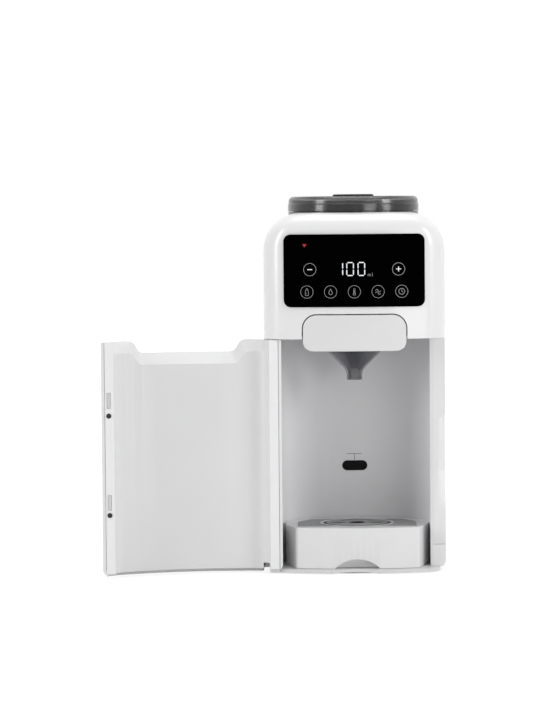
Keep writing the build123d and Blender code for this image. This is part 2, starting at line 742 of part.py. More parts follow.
def make_control_panel():
    outline = rounded_panel(
        -PANEL_WIDTH / 2, PANEL_WIDTH / 2, PANEL_BOTTOM, PANEL_TOP, PANEL_RADIUS, PANEL_RADIUS
    )
    slab = from_front(outline, FRONT - 10, FRONT + 30)
    skin = casing(-PANEL_PROUD, PANEL_BOTTOM - 5, PANEL_TOP + 5)
    return slab & (skin - casing(-0.05, PANEL_BOTTOM - 6, PANEL_TOP + 6)) - head_form(0, HEAD_BOTTOM)


def make_touch_board():
    half = PANEL_WIDTH / 2 - BOARD_MARGIN
    board = box((-half, half), (BOARD_Y, BOARD_Y + BOARD_THICKNESS), (PANEL_BOTTOM + 5, PANEL_TOP - 8))
    return board & head_form(CASE_WALL + FIT_GAP, HEAD_BOTTOM)


def make_display_module():
    body = box(
        (-DISPLAY_WIDTH / 2, DISPLAY_WIDTH / 2), (FRONT - 1, BOARD_Y), (DISPLAY_BOTTOM, DISPLAY_TOP)
    )
    return body & casing(0.1, DISPLAY_BOTTOM - 1, DISPLAY_TOP + 1)


def make_touch_pads():
    inside = casing(CASE_WALL + 0.1, PANEL_BOTTOM, PANEL_TOP)
    return [bar_y(x, z, FRONT, BOARD_Y, KEY_RADIUS) & inside for x, z in key_places()]


# ------------------------------------------------------------------ bay sensor and boards
SENSOR_BOARD_Y = BAY_REAR + 3.5
MAIN_BOARD_Y = BAY_REAR + 6.0


def sensor_board_posts():
    return [(x, z) for x in (-18.5, 18.5) for z in (SENSOR_HEIGHT - 9, SENSOR_HEIGHT + 9)]


def main_board_posts():
    return [(x, z) for x in (-40.0, 40.0) for z in (136.0, 184.0)]


def power_board_posts():
    return [(x, y) for x in (-34.0, 34.0) for y in (6.0, 42.0)]


def make_sensor_window():
    pill = Pos(0, SENSOR_HEIGHT) * SlotOverall(SENSOR_WIDTH, SENSOR_TALL)
    flange = Pos(0, SENSOR_HEIGHT) * SlotOverall(SENSOR_WIDTH + 4, SENSOR_TALL + 4)
    window = from_front(pill, BAY_BACK - 0.4, BAY_REAR + 0.1)
    return window + from_front(flange, BAY_REAR + 0.1, BAY_REAR + 1.3)


def make_sensor_board():
    board = box((-21, 21), (SENSOR_BOARD_Y, SENSOR_BOARD_Y + BOARD_THICKNESS), (93, 117))
    eyes = [
        bar_y(x, SENSOR_HEIGHT, BAY_REAR + 1.4, SENSOR_BOARD_Y, 2.5) for x in (-7.0, 5.0)
    ]
    return [board] + eyes


def make_main_board():
    face = MAIN_BOARD_Y + BOARD_THICKNESS
    board = box((-45, 45), (MAIN_BOARD_Y, face), (130, 190))
    chips = [
        box((-12, 12), (face, face + 2.5), (148, 172)),
        box((20, 32), (face, face + 3), (150, 160)),
        box((-34, -20), (face, face + 8), (168, 182)),
    ]
    return [board] + chips


def make_power_board():
    bottom, top = 11.0, 11.0 + BOARD_THICKNESS
    board = box((-40, 40), (0, 48), (bottom, top))
    parts = [
        box((-32, -10), (10, 34), (top, top + 20)),
        rod(8, 14, top, top + 22, 6),
        rod(24, 14, top, top + 16, 5),
        box((4, 20), (28, 42), (top, top + 14)),
    ]
    return [board] + parts


# ------------------------------------------------------------------ door
def notch_line(low, high, half_width, radius):
    """The door's top edge in front view: high at both ends, with a shallow notch between."""
    run = (high - low) / tan(radians(NOTCH_LEAN)) / 2
    points = [
        (-HALF_WIDTH, high),
        (-half_width - run, high),
        (-half_width + run, low),
        (half_width - run, low),
        (half_width + run, high),
        (HALF_WIDTH, high),
    ]
    return FilletPolyline(*points, radius=radius)


def notch_prism():
    """Everything above the door's top edge."""
    line = notch_line(NOTCH_BOTTOM, DOOR_TOP, NOTCH_HALF_WIDTH, NOTCH_RADIUS)
    top = DOOR_TOP + 30
    lid = Polyline((HALF_WIDTH, DOOR_TOP), (HALF_WIDTH, top), (-HALF_WIDTH, top), (-HALF_WIDTH, DOOR_TOP))
    return from_front(make_face(line.edges() + lid.edges()), FRONT - 10, DOOR_RIM + 10)


def on_front(x, inset):
    """The plan point on the front arc at an inset, straight behind x on the skin."""
    angle = asin(x / (FRONT_RADIUS - DOOR_SKIN))
    reach = FRONT_RADIUS - inset
    return reach * sin(angle), ARC_Y - reach * cos(angle)


def on_corner(angle, inset, side):
    """The plan point on a front corner at an inset, by its direction from -Y."""
    reach = CORNER_RADIUS - inset
    return side * (CORNER_X + reach * sin(angle)), CORNER_Y - reach * cos(angle)


def rim_stations():
    """Pairs of points, outer and inner, along the sloped band that edges the liner's top."""
    outer_line = notch_line(NOTCH_BOTTOM, DOOR_TOP, NOTCH_HALF_WIDTH, NOTCH_RADIUS)
    inner_line = notch_line(
        NOTCH_BOTTOM - RIM_SLOPE_DROP,
        DOOR_TOP - RIM_SLOPE_DROP,
        NOTCH_HALF_WIDTH + RIM_SLOPE_FLARE,
        NOTCH_RADIUS,
    )
    outer_inset, inner_inset = DOOR_SKIN, DOOR_DEPTH + 0.3
    front_end = (FRONT_RADIUS - DOOR_SKIN) * sin(CORNER_START)
    middle = []
    for outer, inner in zip(outer_line.edges(), inner_line.edges()):
        steps = max(3, ceil(outer.length / 9))
        for step in range(steps):
            a, b = outer @ (step / steps), inner @ (step / steps)
            if abs(a.X) < front_end and abs(b.X) < front_end:
                near, far = on_front(a.X, outer_inset), on_front(b.X, inner_inset)
                middle.append(((*near, a.Y), (*far, b.Y)))
    low = DOOR_TOP - RIM_SLOPE_DROP
    ends = []
    for step in range(7):
        angle = CORNER_START + (pi / 2 - CORNER_START) * step / 6
        near = on_corner(angle, outer_inset, 1)
        far = on_corner(angle, inner_inset, 1)
        ends.append(((*near, DOOR_TOP), (*far, low)))
    past = DOOR_RIM + 6
    ends.append(
        (
            (HALF_WIDTH - outer_inset, past, DOOR_TOP),
            (HALF_WIDTH - inner_inset, past, low),
        )
    )
    mirrored = [tuple((-x, y, z) for x, y, z in pair) for pair in reversed(ends)]
    return mirrored + middle + ends


def slope_cut(half_width):
    """The space above the liner's sloped rim, between its two flat side strips."""
    roof = DOOR_TOP + 12
    sections = []
    for near, far in rim_stations():
        corners = [near, far, (far[0], far[1], roof), (near[0], near[1], roof)]
        sections.append(Polyline(*corners, close=True).wire())
    between = box((-half_width, half_width), (FRONT - 5, DOOR_RIM + 10), (0, roof + 5))
    return Solid.make_loft(sections, ruled=True) & between


def magnet_boxes(grow, rim_gap):
    """The two magnets' space in the door's free edge, or their pockets with some growth."""
    half = MAGNET_WIDTH / 2 + grow
    tall = MAGNET_HEIGHT / 2 + grow
    x = (CATCH_STRIP_X - half, CATCH_STRIP_X + half)
    y = (DOOR_RIM - rim_gap - MAGNET_DEPTH, DOOR_RIM - rim_gap)
    return [box(x, y, (z - tall, z + tall)) for z in CATCH_HEIGHTS]


def door_corner():
    """The skin's round lower corner at the free edge, outside the base plate."""
    low, high = DOOR_BOTTOM, DOOR_BOTTOM + BOTTOM_CORNER
    stock = casing(DOOR_SKIN - SKIM, low, high) - silhouette(DOOR_BOTTOM, DOOR_SKIN)
    near = HALF_WIDTH - BASE_INSET + 0.4
    return stock & box((near, WIDTH), (FRONT, DOOR_RIM), (low, high))


def make_door_shell():
    shell = casing(0, DOOR_BOTTOM, DOOR_TOP + 1) - casing(DOOR_SKIN, 0, DOOR_TOP + 5)
    shell = (shell + door_corner()) & in_front_of(DOOR_RIM) & silhouette(DOOR_BOTTOM)
    shell -= notch_prism()
    shell -= hinge_cylinder(0, BLOCK_TOP + BLOCK_CLEARANCE, BLOCK_SWEEP)
    shell -= hinge_cylinder(0, LINER_BOTTOM - 0.1, HEEL_SWEEP)
    return shell - hinge_cylinder(0, DOOR_TOP + 5, HINGE_PIN_RADIUS + RUN_GAP)


def make_door_liner():
    strip = HALF_WIDTH - DOOR_DEPTH - 0.2
    cut = slope_cut(strip)
    outer_inset = DOOR_SKIN + 0.05
    liner = casing(outer_inset, LINER_BOTTOM, DOOR_TOP) - casing(DOOR_DEPTH, 0, DOOR_TOP + 5)
    liner = liner & in_front_of(DOOR_RIM)
    liner -= cut
    hollow = casing(outer_inset - 1, LINER_BOTTOM + LINER_WALL, DOOR_TOP - LINER_WALL)
    hollow -= casing(DOOR_DEPTH - LINER_WALL, 0, DOOR_TOP + 5)
    hollow = hollow & in_front_of(DOOR_RIM - LINER_WALL)
    hollow -= Pos(0, 0, -LINER_WALL) * slope_cut(strip + LINER_WALL)
    keep = casing(outer_inset, LINER_BOTTOM, DOOR_TOP) - cut
    boss_low = hinge_cylinder(LINER_BOTTOM, LINER_BOTTOM + HINGE_BOSS_HEIGHT, HINGE_BOSS_RADIUS)
    boss_high = hinge_cylinder(DOOR_TOP - HINGE_BOSS_HEIGHT, DOOR_TOP, HINGE_BOSS_RADIUS)
    hollow -= boss_low + boss_high
    web_x, web_y = (HINGE_X - 3, HINGE_X + 14), (HINGE_Y - 3, DOOR_RIM)
    hollow -= box(web_x, web_y, (LINER_BOTTOM, LINER_BOTTOM + HINGE_BOSS_HEIGHT))
    hollow -= box(web_x, web_y, (DOOR_TOP - HINGE_BOSS_HEIGHT, DOOR_TOP))
    for pocket in magnet_boxes(1.5, 0):
        hollow -= pocket
    for z in BUMPER_HEIGHTS:
        hollow -= bar_y(CATCH_STRIP_X, z, DOOR_RIM - 4, DOOR_RIM, BUMPER_RADIUS + 1.5)
    liner = (liner - hollow) & keep
    groove = casing(DOOR_SKIN, 0, DOOR_TOP + 5) - casing(DOOR_SKIN + LINER_GROOVE, 0, DOOR_TOP + 5)
    liner -= groove & behind(DOOR_RIM - GROOVE_DEPTH)
    for pocket in magnet_boxes(FIT_GAP, 0):
        liner -= pocket
    for z in BUMPER_HEIGHTS:
        liner -= bar_y(CATCH_STRIP_X, z, DOOR_RIM - 2.5, DOOR_RIM + 1, BUMPER_RADIUS)
    liner -= hinge_cylinder(0, BLOCK_TOP + BLOCK_CLEARANCE, BLOCK_SWEEP)
    free_side = box((0, WIDTH), (FRONT, 0), (0, HEAD_TOP)) - silhouette(DOOR_BOTTOM, outer_inset)
    bore = HINGE_PIN_RADIUS + RUN_GAP
    return liner - free_side - hinge_cylinder(0, DOOR_TOP + 5, bore)


def make_door_magnets():
    return magnet_boxes(0, 0.4)


def make_door_bumpers():
    return [
        bar_y(CATCH_STRIP_X, z, DOOR_RIM - 2.5, DOOR_RIM + 0.4, BUMPER_RADIUS)
        for z in BUMPER_HEIGHTS
    ]


def make_catch_plates():
    """Two steel strips behind the right post's face, which the magnets pull on."""
    back = POST_FACE + POST_THICKNESS
    half = MAGNET_WIDTH / 2
    x = (CATCH_STRIP_X - half, CATCH_STRIP_X + half)
    tall = MAGNET_HEIGHT / 2
    return [box(x, (back, back + 1.5), (z - tall, z + tall)) for z in CATCH_HEIGHTS]


def make_hinge_pins():
    reach = BLOCK_TOP + HINGE_PIN_REACH
    lower = hinge_cylinder(BASE_BOTTOM + 2, reach, HINGE_PIN_RADIUS)
    upper = hinge_cylinder(HEAD_BOTTOM, CEILING_TOP, HINGE_PIN_RADIUS)
    upper += hinge_cylinder(CEILING_TOP, CEILING_TOP + 1.5, HINGE_PIN_RADIUS * 1.7)
    upper = upper & casing(CASE_WALL + FIT_GAP, HEAD_BOTTOM, HEAD_TOP)
    upper += hinge_cylinder(DOOR_TOP - HINGE_PIN_REACH, HEAD_BOTTOM, HINGE_PIN_RADIUS)
    return [lower, upper]


# ------------------------------------------------------------------ drawer with the funnel
def make_drawer_front():
    slab = from_front(plate_outline(0), FRONT - 10, FRONT + 20)
    skin = casing(-PLATE_PROUD, PLATE_BOTTOM - 5, PLATE_TOP + 5)
    return slab & (skin - casing(PLATE_THICKNESS, PLATE_BOTTOM - 6, PLATE_TOP + 6))


def make_funnel_holder():
    wide = (-HOLDER_HALF_WIDTH, HOLDER_HALF_WIDTH)
    holder = box(wide, (FRONT, HOLDER_BACK - 1), (HOLDER_BOTTOM, HOLDER_TOP))
    for side in (-1, 1):
        runner = sided(side, HOLDER_HALF_WIDTH - RUNNER_WIDTH, HOLDER_HALF_WIDTH)
        holder += box(runner, (FRONT, HOLDER_BACK - 1), (HOLDER_BOTTOM, HEAD_BOTTOM - 0.3))
    stop = 4.0
    holder += box(wide, (FRONT, FRONT + PLATE_THICKNESS + 8 + stop), (HOLDER_BOTTOM, HOLDER_TOP + 2))
    holder = holder & casing(PLATE_THICKNESS + 0.05, 0, 300)
    collar_radius = funnel_radius(HOLDER_BOTTOM) + FUNNEL_WALL + 2.0
    holder -= rod(0, FUNNEL_Y, HOLDER_BOTTOM - 1, HOLDER_TOP + 5, collar_radius)
    seat = HOLDER_TOP + FIT_GAP
    return holder - rod(0, FUNNEL_Y, seat - 0.1, seat + 5, FUNNEL_RIM_RADIUS + 0.5)


def funnel_radius(height):
    """The cone's outer radius at a height: its wall leans at 45 degrees."""
    return SPOUT_RADIUS + height - CONE_START


def flare(radius, height, bend):
    """Points up the round bend from an upright wall into the cone that would meet it at height."""
    low = height - bend * tan(pi / 8)
    turns = [pi / 4 * step / 5 for step in range(6)]
    return [(radius + bend * (1 - cos(turn)), low + bend * sin(turn)) for turn in turns]


def make_funnel():
    wall = FUNNEL_WALL * sqrt(2)
    seat = HOLDER_TOP + FIT_GAP
    bowl_z = CONE_START + BOWL_RADIUS - SPOUT_RADIUS
    outside = [
        (SPOUT_RADIUS, SPOUT_BOTTOM),
        *flare(SPOUT_RADIUS, CONE_START, FLARE_RADIUS),
        (funnel_radius(seat), seat),
        (FUNNEL_RIM_RADIUS, seat),
        (FUNNEL_RIM_RADIUS, seat + 2),
        (BOWL_RADIUS, seat + 2),
        (BOWL_RADIUS, FUNNEL_TOP),
    ]
    bore = SPOUT_RADIUS - FUNNEL_WALL
    cone_foot = CONE_START + bore - SPOUT_RADIUS + wall
    inner_bowl = BOWL_RADIUS - FUNNEL_WALL
    inside = [
        (inner_bowl, FUNNEL_TOP),
        (inner_bowl, bowl_z - FUNNEL_WALL + wall),
        *reversed(flare(bore, cone_foot, FLARE_RADIUS + FUNNEL_WALL)),
        (bore, SPOUT_BOTTOM),
    ]
    return turned(outside + inside, 0, FUNNEL_Y)


# ------------------------------------------------------------------ dosing drive
def involute_gear(teeth, phase, x, y, bottom, top):
    """A spur gear with involute flanks; phase is the direction of one tooth, in degrees."""
    pitch = GEAR_MODULE * teeth / 2
    base = pitch * cos(radians(20))
    tip = pitch + GEAR_MODULE
    root = pitch - 1.25 * GEAR_MODULE

    def spread(radius):
        angle = acos(min(1.0, base / radius))
        return tan(angle) - angle

    half = pi / (2 * teeth) - GEAR_BACKLASH / (2 * pitch)
    start = max(base, root + 0.05)
    flank = [start + (tip - start) * step / 4 for step in range(5)]
    points = []
    for tooth in range(teeth):
        middle = radians(phase) + 2 * pi * tooth / teeth
        turn = [half + spread(pitch) - spread(radius) for radius in flank]
        foot = turn[0]
        points.append((root, middle - foot))
        points += [(radius, middle - angle) for radius, angle in zip(flank, turn)]
        points += [(radius, middle + angle) for radius, angle in reversed(list(zip(flank, turn)))]
        points.append((root, middle + foot))
    outline = Polyline(*[(r * cos(a), r * sin(a)) for r, a in points], close=True)
    return extrude(Pos(x, y, bottom) * make_face(outline), amount=top - bottom)


def make_drive_gear():
    gear = involute_gear(
        GEAR_TEETH, PINION_BEARING, 0, HOPPER_Y, GEAR_BOTTOM, GEAR_BOTTOM + GEAR_HEIGHT
    )
    gear += rod(0, HOPPER_Y, GEAR_BOTTOM, GEAR_BOTTOM + GEAR_HEIGHT + 1.5, SHAFT_RADIUS + 3)
    return gear - rod(0, HOPPER_Y, GEAR_BOTTOM - 1, GEAR_BOTTOM + 20, SHAFT_RADIUS)


def make_motor_pinion():
    gap = 180.0 / PINION_TEETH
    phase = PINION_BEARING + 180 + gap
    pinion = involute_gear(
        PINION_TEETH, phase, PINION_X, PINION_Y, GEAR_BOTTOM - 0.5, GEAR_BOTTOM + GEAR_HEIGHT + 0.5
    )
    return pinion + rod(PINION_X, PINION_Y, MOTOR_BOTTOM + 4, GEAR_BOTTOM, MOTOR_SHAFT_RADIUS)


def make_dosing_motor():
    motor = rod(PINION_X, PINION_Y, MOTOR_BOTTOM, MOTOR_TOP, MOTOR_RADIUS)
    bore = MOTOR_SHAFT_RADIUS + RUN_GAP
    return motor - rod(PINION_X, PINION_Y, MOTOR_BOTTOM + 3.5, MOTOR_TOP + 1, bore)


def motor_bracket():
    """A cranked plate on the ceiling, behind the channel, that carries the motor."""
    top = MOTOR_BOTTOM
    under = FUNNEL_TOP + 0.4
    reach = MOTOR_RADIUS + 1
    back = HOLDER_BACK + 24
    plate = box((PINION_X - reach, PINION_X + reach), (PINION_Y - reach, back), (under, top))
    foot = box((PINION_X - reach, PINION_X + reach), (HOLDER_BACK + 2, back), (CEILING_TOP, top))
    clip = rod(PINION_X, PINION_Y, top - 1, top + 4, MOTOR_RADIUS + 1.8)
    clip -= rod(PINION_X, PINION_Y, top - 2, top + 5, MOTOR_RADIUS + 0.1)
    return plate + foot + (clip & box((-80, 80), (PINION_Y, 80), (top, top + 4)))


def make_dosing_base():
    base = rod(0, HOPPER_Y, DOSE_FLOOR, HOPPER_FLOOR - FIT_GAP, DOSE_RADIUS)
    base -= rod(0, HOPPER_Y, DOSE_TOP, HOPPER_FLOOR + 1, WHEEL_RADIUS + 0.5)
    base += rod(0, HOPPER_Y, GEAR_BOTTOM + GEAR_HEIGHT + 2, DOSE_TOP, BUSH_RADIUS + 3)
    outlet_y = HOPPER_Y - POCKET_CIRCLE
    base += rod(0, outlet_y, CHUTE_BOTTOM, DOSE_TOP, POCKET_RADIUS + 1.5)
    for x, y in COLUMNS:
        base += rod(x, y, CEILING_TOP, DOSE_TOP, COLUMN_RADIUS)
    base -= rod(0, outlet_y, CHUTE_BOTTOM - 1, DOSE_TOP + 1, POCKET_RADIUS)
    return base - rod(0, HOPPER_Y, GEAR_BOTTOM, DOSE_TOP + 1, BUSH_RADIUS)


def make_shaft_bush():
    bottom = GEAR_BOTTOM + GEAR_HEIGHT + 2
    return pipe(0, HOPPER_Y, bottom, DOSE_TOP, BUSH_RADIUS, SHAFT_RADIUS + RUN_GAP)


def make_drive_shaft():
    shaft = rod(0, HOPPER_Y, GEAR_BOTTOM - 1, DOSE_TOP + 0.2, SHAFT_RADIUS)
    return shaft + hexagon_bar(HOPPER_Y, DOSE_TOP + 0.2, SHAFT_TOP, SHAFT_HEX)


def make_dosing_wheel():
    bottom = DOSE_TOP + WHEEL_PLAY
    wheel = rod(0, HOPPER_Y, bottom, bottom + WHEEL_HEIGHT, WHEEL_RADIUS)
    for step in range(POCKET_COUNT):
        angle = 2 * pi * step / POCKET_COUNT - pi / 2
        x, y = POCKET_CIRCLE * cos(angle), HOPPER_Y + POCKET_CIRCLE * sin(angle)
        wheel -= rod(x, y, bottom - 1, bottom + WHEEL_HEIGHT + 1, POCKET_RADIUS)
    return wheel - hexagon_bar(HOPPER_Y, bottom - 1, bottom + WHEEL_HEIGHT + 1, SHAFT_HEX + 0.3)


# ------------------------------------------------------------------ hopper, stirrer and lid
def make_hopper():
    inner = HOPPER_RADIUS - HOPPER_WALL
    floor_top = HOPPER_FLOOR + HOPPER_WALL
    profile = [
        (STIRRER_HUB_RADIUS - 2, HOPPER_FLOOR),
        (HOPPER_RADIUS, HOPPER_FLOOR),
        (HOPPER_RADIUS, RIM_BOTTOM),
        (HOPPER_RIM_RADIUS, RIM_BOTTOM),
        (HOPPER_RIM_RADIUS, RIM_TOP),
        (HOPPER_RADIUS, RIM_TOP),
        (HOPPER_RADIUS, NECK_TOP),
        (inner, NECK_TOP),
        (inner, floor_top),
        (STIRRER_HUB_RADIUS - 2, floor_top),
    ]
    hopper = turned(profile, 0, HOPPER_Y)
    inlet_y = HOPPER_Y + POCKET_CIRCLE
    return hopper - rod(0, inlet_y, HOPPER_FLOOR - 1, floor_top + 1, POCKET_RADIUS + 4)


def make_stirrer():
    bottom = STIRRER_BOTTOM
    hub = rod(0, HOPPER_Y, bottom, SHAFT_TOP + 6, STIRRER_HUB_RADIUS)
    arm = box((-STIRRER_REACH, STIRRER_REACH), (HOPPER_Y - 4, HOPPER_Y + 4), (bottom, bottom + 4))
    stirrer = hub + arm
    for side in (-1, 1):
        x = sided(side, STIRRER_REACH - 14, STIRRER_REACH - 8)
        stirrer += box(x, (HOPPER_Y - 4, HOPPER_Y + 4), (bottom, bottom + STIRRER_FINGER_HEIGHT))
    return stirrer - hexagon_bar(HOPPER_Y, bottom - 1, SHAFT_TOP + 0.5, SHAFT_HEX + 0.3)


def make_hopper_lid():
    step_z = LID_BOTTOM + LID_BAND
    skirt = LID_RADIUS - LID_WALL
    under = LID_TOP - LID_WALL
    well_under = WELL_FLOOR - LID_WALL
    rib_bottom = NECK_TOP + 2.4
    rib = (HOPPER_RADIUS - HOPPER_WALL - 0.5, HOPPER_RADIUS + 0.5)
    points = [
        (0, WELL_FLOOR),
        (LID_WELL_RADIUS, WELL_FLOOR),
        (LID_WELL_RADIUS, LID_TOP),
        (LID_RADIUS - LID_STEP - LID_SHOULDER, LID_TOP),
    ]
    for step in range(1, 7):
        angle = pi / 2 * step / 6
        points.append(
            (
                LID_RADIUS - LID_STEP - LID_SHOULDER * (1 - sin(angle)),
                LID_TOP - LID_SHOULDER * (1 - cos(angle)),
            )
        )
    points += [
        (LID_RADIUS - LID_STEP, step_z + LID_STEP),
        (LID_RADIUS, step_z),
        (LID_RADIUS, LID_BOTTOM),
        (skirt, LID_BOTTOM),
        (skirt, under - 2.5),
        (skirt - 2.5, under),
        (rib[1], under),
        (rib[1], rib_bottom),
        (rib[0], rib_bottom),
        (rib[0], under),
        (LID_WELL_RADIUS + LID_WALL, under),
        (LID_WELL_RADIUS + LID_WALL, well_under),
        (0, well_under),
    ]
    return turned(points, 0, HOPPER_Y)


def make_lid_knob():
    foot = WELL_FLOOR + FIT_GAP
    top = LID_TOP + KNOB_PROUD
    points = [
        (0, foot),
        (KNOB_FOOT_RADIUS - 1, foot),
        (KNOB_FOOT_RADIUS + 0.8, foot + 1.2),
        (KNOB_RADIUS - 0.6, LID_TOP - 0.6),
        (KNOB_RADIUS, LID_TOP + 0.4),
        (KNOB_RADIUS, top - 0.7),
        (KNOB_RADIUS - 0.7, top),
        (KNOB_RADIUS - 3, top),
        (KNOB_RADIUS - 5, top - 1.4),
        (0, top - 2),
    ]
    return turned(points, 0, HOPPER_Y)


def make_lid_seal():
    return pipe(0, HOPPER_Y, NECK_TOP + 0.1, NECK_TOP + 2.3, HOPPER_RADIUS - 0.1, HOPPER_RADIUS - 2.4)


# ------------------------------------------------------------------ water tank and valve
def make_water_tank():
    wide, deep = (-TANK_HALF_WIDTH, TANK_HALF_WIDTH), (TANK_FRONT, TANK_BACK)
    tank = rounded_block(wide, deep, (TANK_BOTTOM, TANK_TOP), TANK_RADIUS)
    tank -= rounded_block(
        (wide[0] + TANK_WALL, wide[1] - TANK_WALL),
        (deep[0] + TANK_WALL, deep[1] - TANK_WALL),
        (TANK_FLOOR_TOP, TANK_TOP + 5),
        TANK_RADIUS - TANK_WALL,
    )
    tank += rod(0, VALVE_Y, OPENER_TOP + 0.2, TANK_FLOOR_TOP, SPOUT_OUTER)
    tank -= rod(0, VALVE_Y, DISC_CLOSED, TANK_FLOOR_TOP + 1, SPOUT_INNER)
    tank -= rod(0, VALVE_Y, OPENER_TOP, DISC_CLOSED + 1, STEM_RADIUS + 2.5)
    for side in (-1, 1):
        x = sided(side, KNUCKLE_INNER, KNUCKLE_OUTER)
        ear = box(x, (TANK_BACK - TANK_WALL, TANK_BACK), (TANK_TOP - 1, TANK_PIN_Z))
        tank += ear + bar_x(TANK_PIN_Y, TANK_PIN_Z, *x, TANK_KNUCKLE_RADIUS)
    return tank - bar_x(TANK_PIN_Y, TANK_PIN_Z, -KNUCKLE_OUTER - 1, KNUCKLE_OUTER + 1, TANK_PIN_RADIUS)


def make_tank_lid():
    grow = 1.2
    wide = (-TANK_HALF_WIDTH - grow, TANK_HALF_WIDTH + grow)
    top = TANK_LID_BOTTOM + TANK_LID_THICKNESS
    lid = rounded_block(
        wide, (TANK_FRONT - grow, TANK_BACK + grow), (TANK_LID_BOTTOM, top), TANK_RADIUS + grow
    )
    lid = lid & in_front_of(TANK_PIN_Y)
    plug = TANK_WALL + 0.8
    lid += rounded_block(
        (wide[0] + grow + plug, wide[1] - grow - plug),
        (TANK_FRONT + plug, TANK_BACK - plug - 2),
        (TANK_LID_BOTTOM - TANK_LID_PLUG, TANK_LID_BOTTOM),
        TANK_RADIUS - plug,
    )
    lid -= rounded_block(
        (wide[0] + grow + plug + 2, wide[1] - grow - plug - 2),
        (TANK_FRONT + plug + 2, TANK_BACK - plug - 4),
        (TANK_LID_BOTTOM - TANK_LID_PLUG - 1, TANK_LID_BOTTOM),
        TANK_RADIUS - plug - 2,
    )
    play = 0.3
    for side in (-1, 1):
        ear = sided(side, KNUCKLE_INNER - play, KNUCKLE_OUTER + play)
        slot_y = (TANK_PIN_Y - TANK_KNUCKLE_RADIUS - play, TANK_BACK + 20)
        lid -= box(ear, slot_y, (TANK_LID_BOTTOM - 20, top + 10))
    knuckle = KNUCKLE_INNER - play
    lid += bar_x(TANK_PIN_Y, TANK_PIN_Z, -knuckle, knuckle, TANK_KNUCKLE_RADIUS)
    grip = Pos(0, TANK_FRONT + 10, top + 6) * Sphere(9)
    bore = TANK_PIN_RADIUS + RUN_GAP
    return lid - grip - bar_x(TANK_PIN_Y, TANK_PIN_Z, -60, 60, bore)


def make_tank_lid_pin():
    return bar_x(TANK_PIN_Y, TANK_PIN_Z, -KNUCKLE_OUTER, KNUCKLE_OUTER, TANK_PIN_RADIUS)


def make_valve_cage():
    bottom = TANK_FLOOR_TOP
    cage = pipe(0, VALVE_Y, bottom, bottom + 2, SPOUT_OUTER + 2.5, SPOUT_INNER)
    for step in range(3):
        angle = 2 * pi * step / 3
        x, y = (SPOUT_OUTER + 0.5) * cos(angle), VALVE_Y + (SPOUT_OUTER + 0.5) * sin(angle)
        cage += rod(x, y, bottom, CAGE_TOP, 1.5)
    cage += rod(0, VALVE_Y, CAGE_TOP, CAGE_TOP + 2, SPOUT_OUTER + 2.5)
    return cage - rod(0, VALVE_Y, CAGE_TOP - 1, CAGE_TOP + 3, STEM_RADIUS + 0.3)


def make_valve_plunger():
    plunger = rod(0, VALVE_Y, OPENER_TOP + 0.1, CAGE_TOP + 4, STEM_RADIUS)
    return plunger + rod(0, VALVE_Y, DISC_OPEN, DISC_OPEN + DISC_THICKNESS, VALVE_DISC_RADIUS)


def make_valve_spring():
    bottom = DISC_OPEN + DISC_THICKNESS + SPRING_WIRE + 0.1
    top = CAGE_TOP - SPRING_WIRE - 0.1
    height = top - bottom
    path = Helix(height / SPRING_TURNS, height, SPRING_RADIUS)
    start = Plane(origin=path @ 0, z_dir=path % 0)
    return Pos(0, VALVE_Y, bottom) * sweep(start * Circle(SPRING_WIRE), path)


def make_tank_shelf():
    shelf = casing(CASE_WALL + FIT_GAP, SHELF_BOTTOM, SHELF_TOP) & behind(BAY_REAR + FIT_GAP)
    shelf -= rod(0, VALVE_Y, SHELF_BOTTOM - 1, SHELF_TOP + 1, SEAT_RADIUS)
    return shelf - rod(RISER_X, RISER_Y, SHELF_BOTTOM - 1, SHELF_TOP + 1, HOSE_RADIUS + 1)


SEAT_FLOOR = OPENER_TOP - 4.0
SEAT_INNER = SEAT_RADIUS - 2.2
SEAT_BARB_Z = SEAT_FLOOR + 2.2


def make_tank_seat():
    seat = rod(0, VALVE_Y, SEAT_FLOOR - 2.5, SHELF_TOP, SEAT_RADIUS)
    seat += rod(0, VALVE_Y, SHELF_BOTTOM - 2.5, SHELF_BOTTOM, SEAT_RADIUS + 6)
    seat += bar_x(VALVE_Y, SEAT_BARB_Z, 0, SEAT_RADIUS + BARB_LENGTH, BARB_RADIUS)
    seat -= rod(0, VALVE_Y, SEAT_FLOOR, SHELF_TOP + 1, SEAT_INNER)
    seat -= bar_x(VALVE_Y, SEAT_BARB_Z, SEAT_INNER - 3, SEAT_RADIUS + BARB_LENGTH + 1, BARB_BORE)
    return seat + rod(0, VALVE_Y, SEAT_FLOOR - 1, OPENER_TOP, STEM_RADIUS + 0.4)


def make_seat_seal():
    return pipe(0, VALVE_Y, OPENER_TOP + 4, OPENER_TOP + 7, SEAT_INNER - 0.1, SPOUT_OUTER + 0.2)


# ------------------------------------------------------------------ pump, heater, hoses, nozzle
PUMP_TOP = 50.0
PUMP_HALF = 20.0
PUMP_BARB_Z = 24.0
HEATER_BARB_Z = 44.0


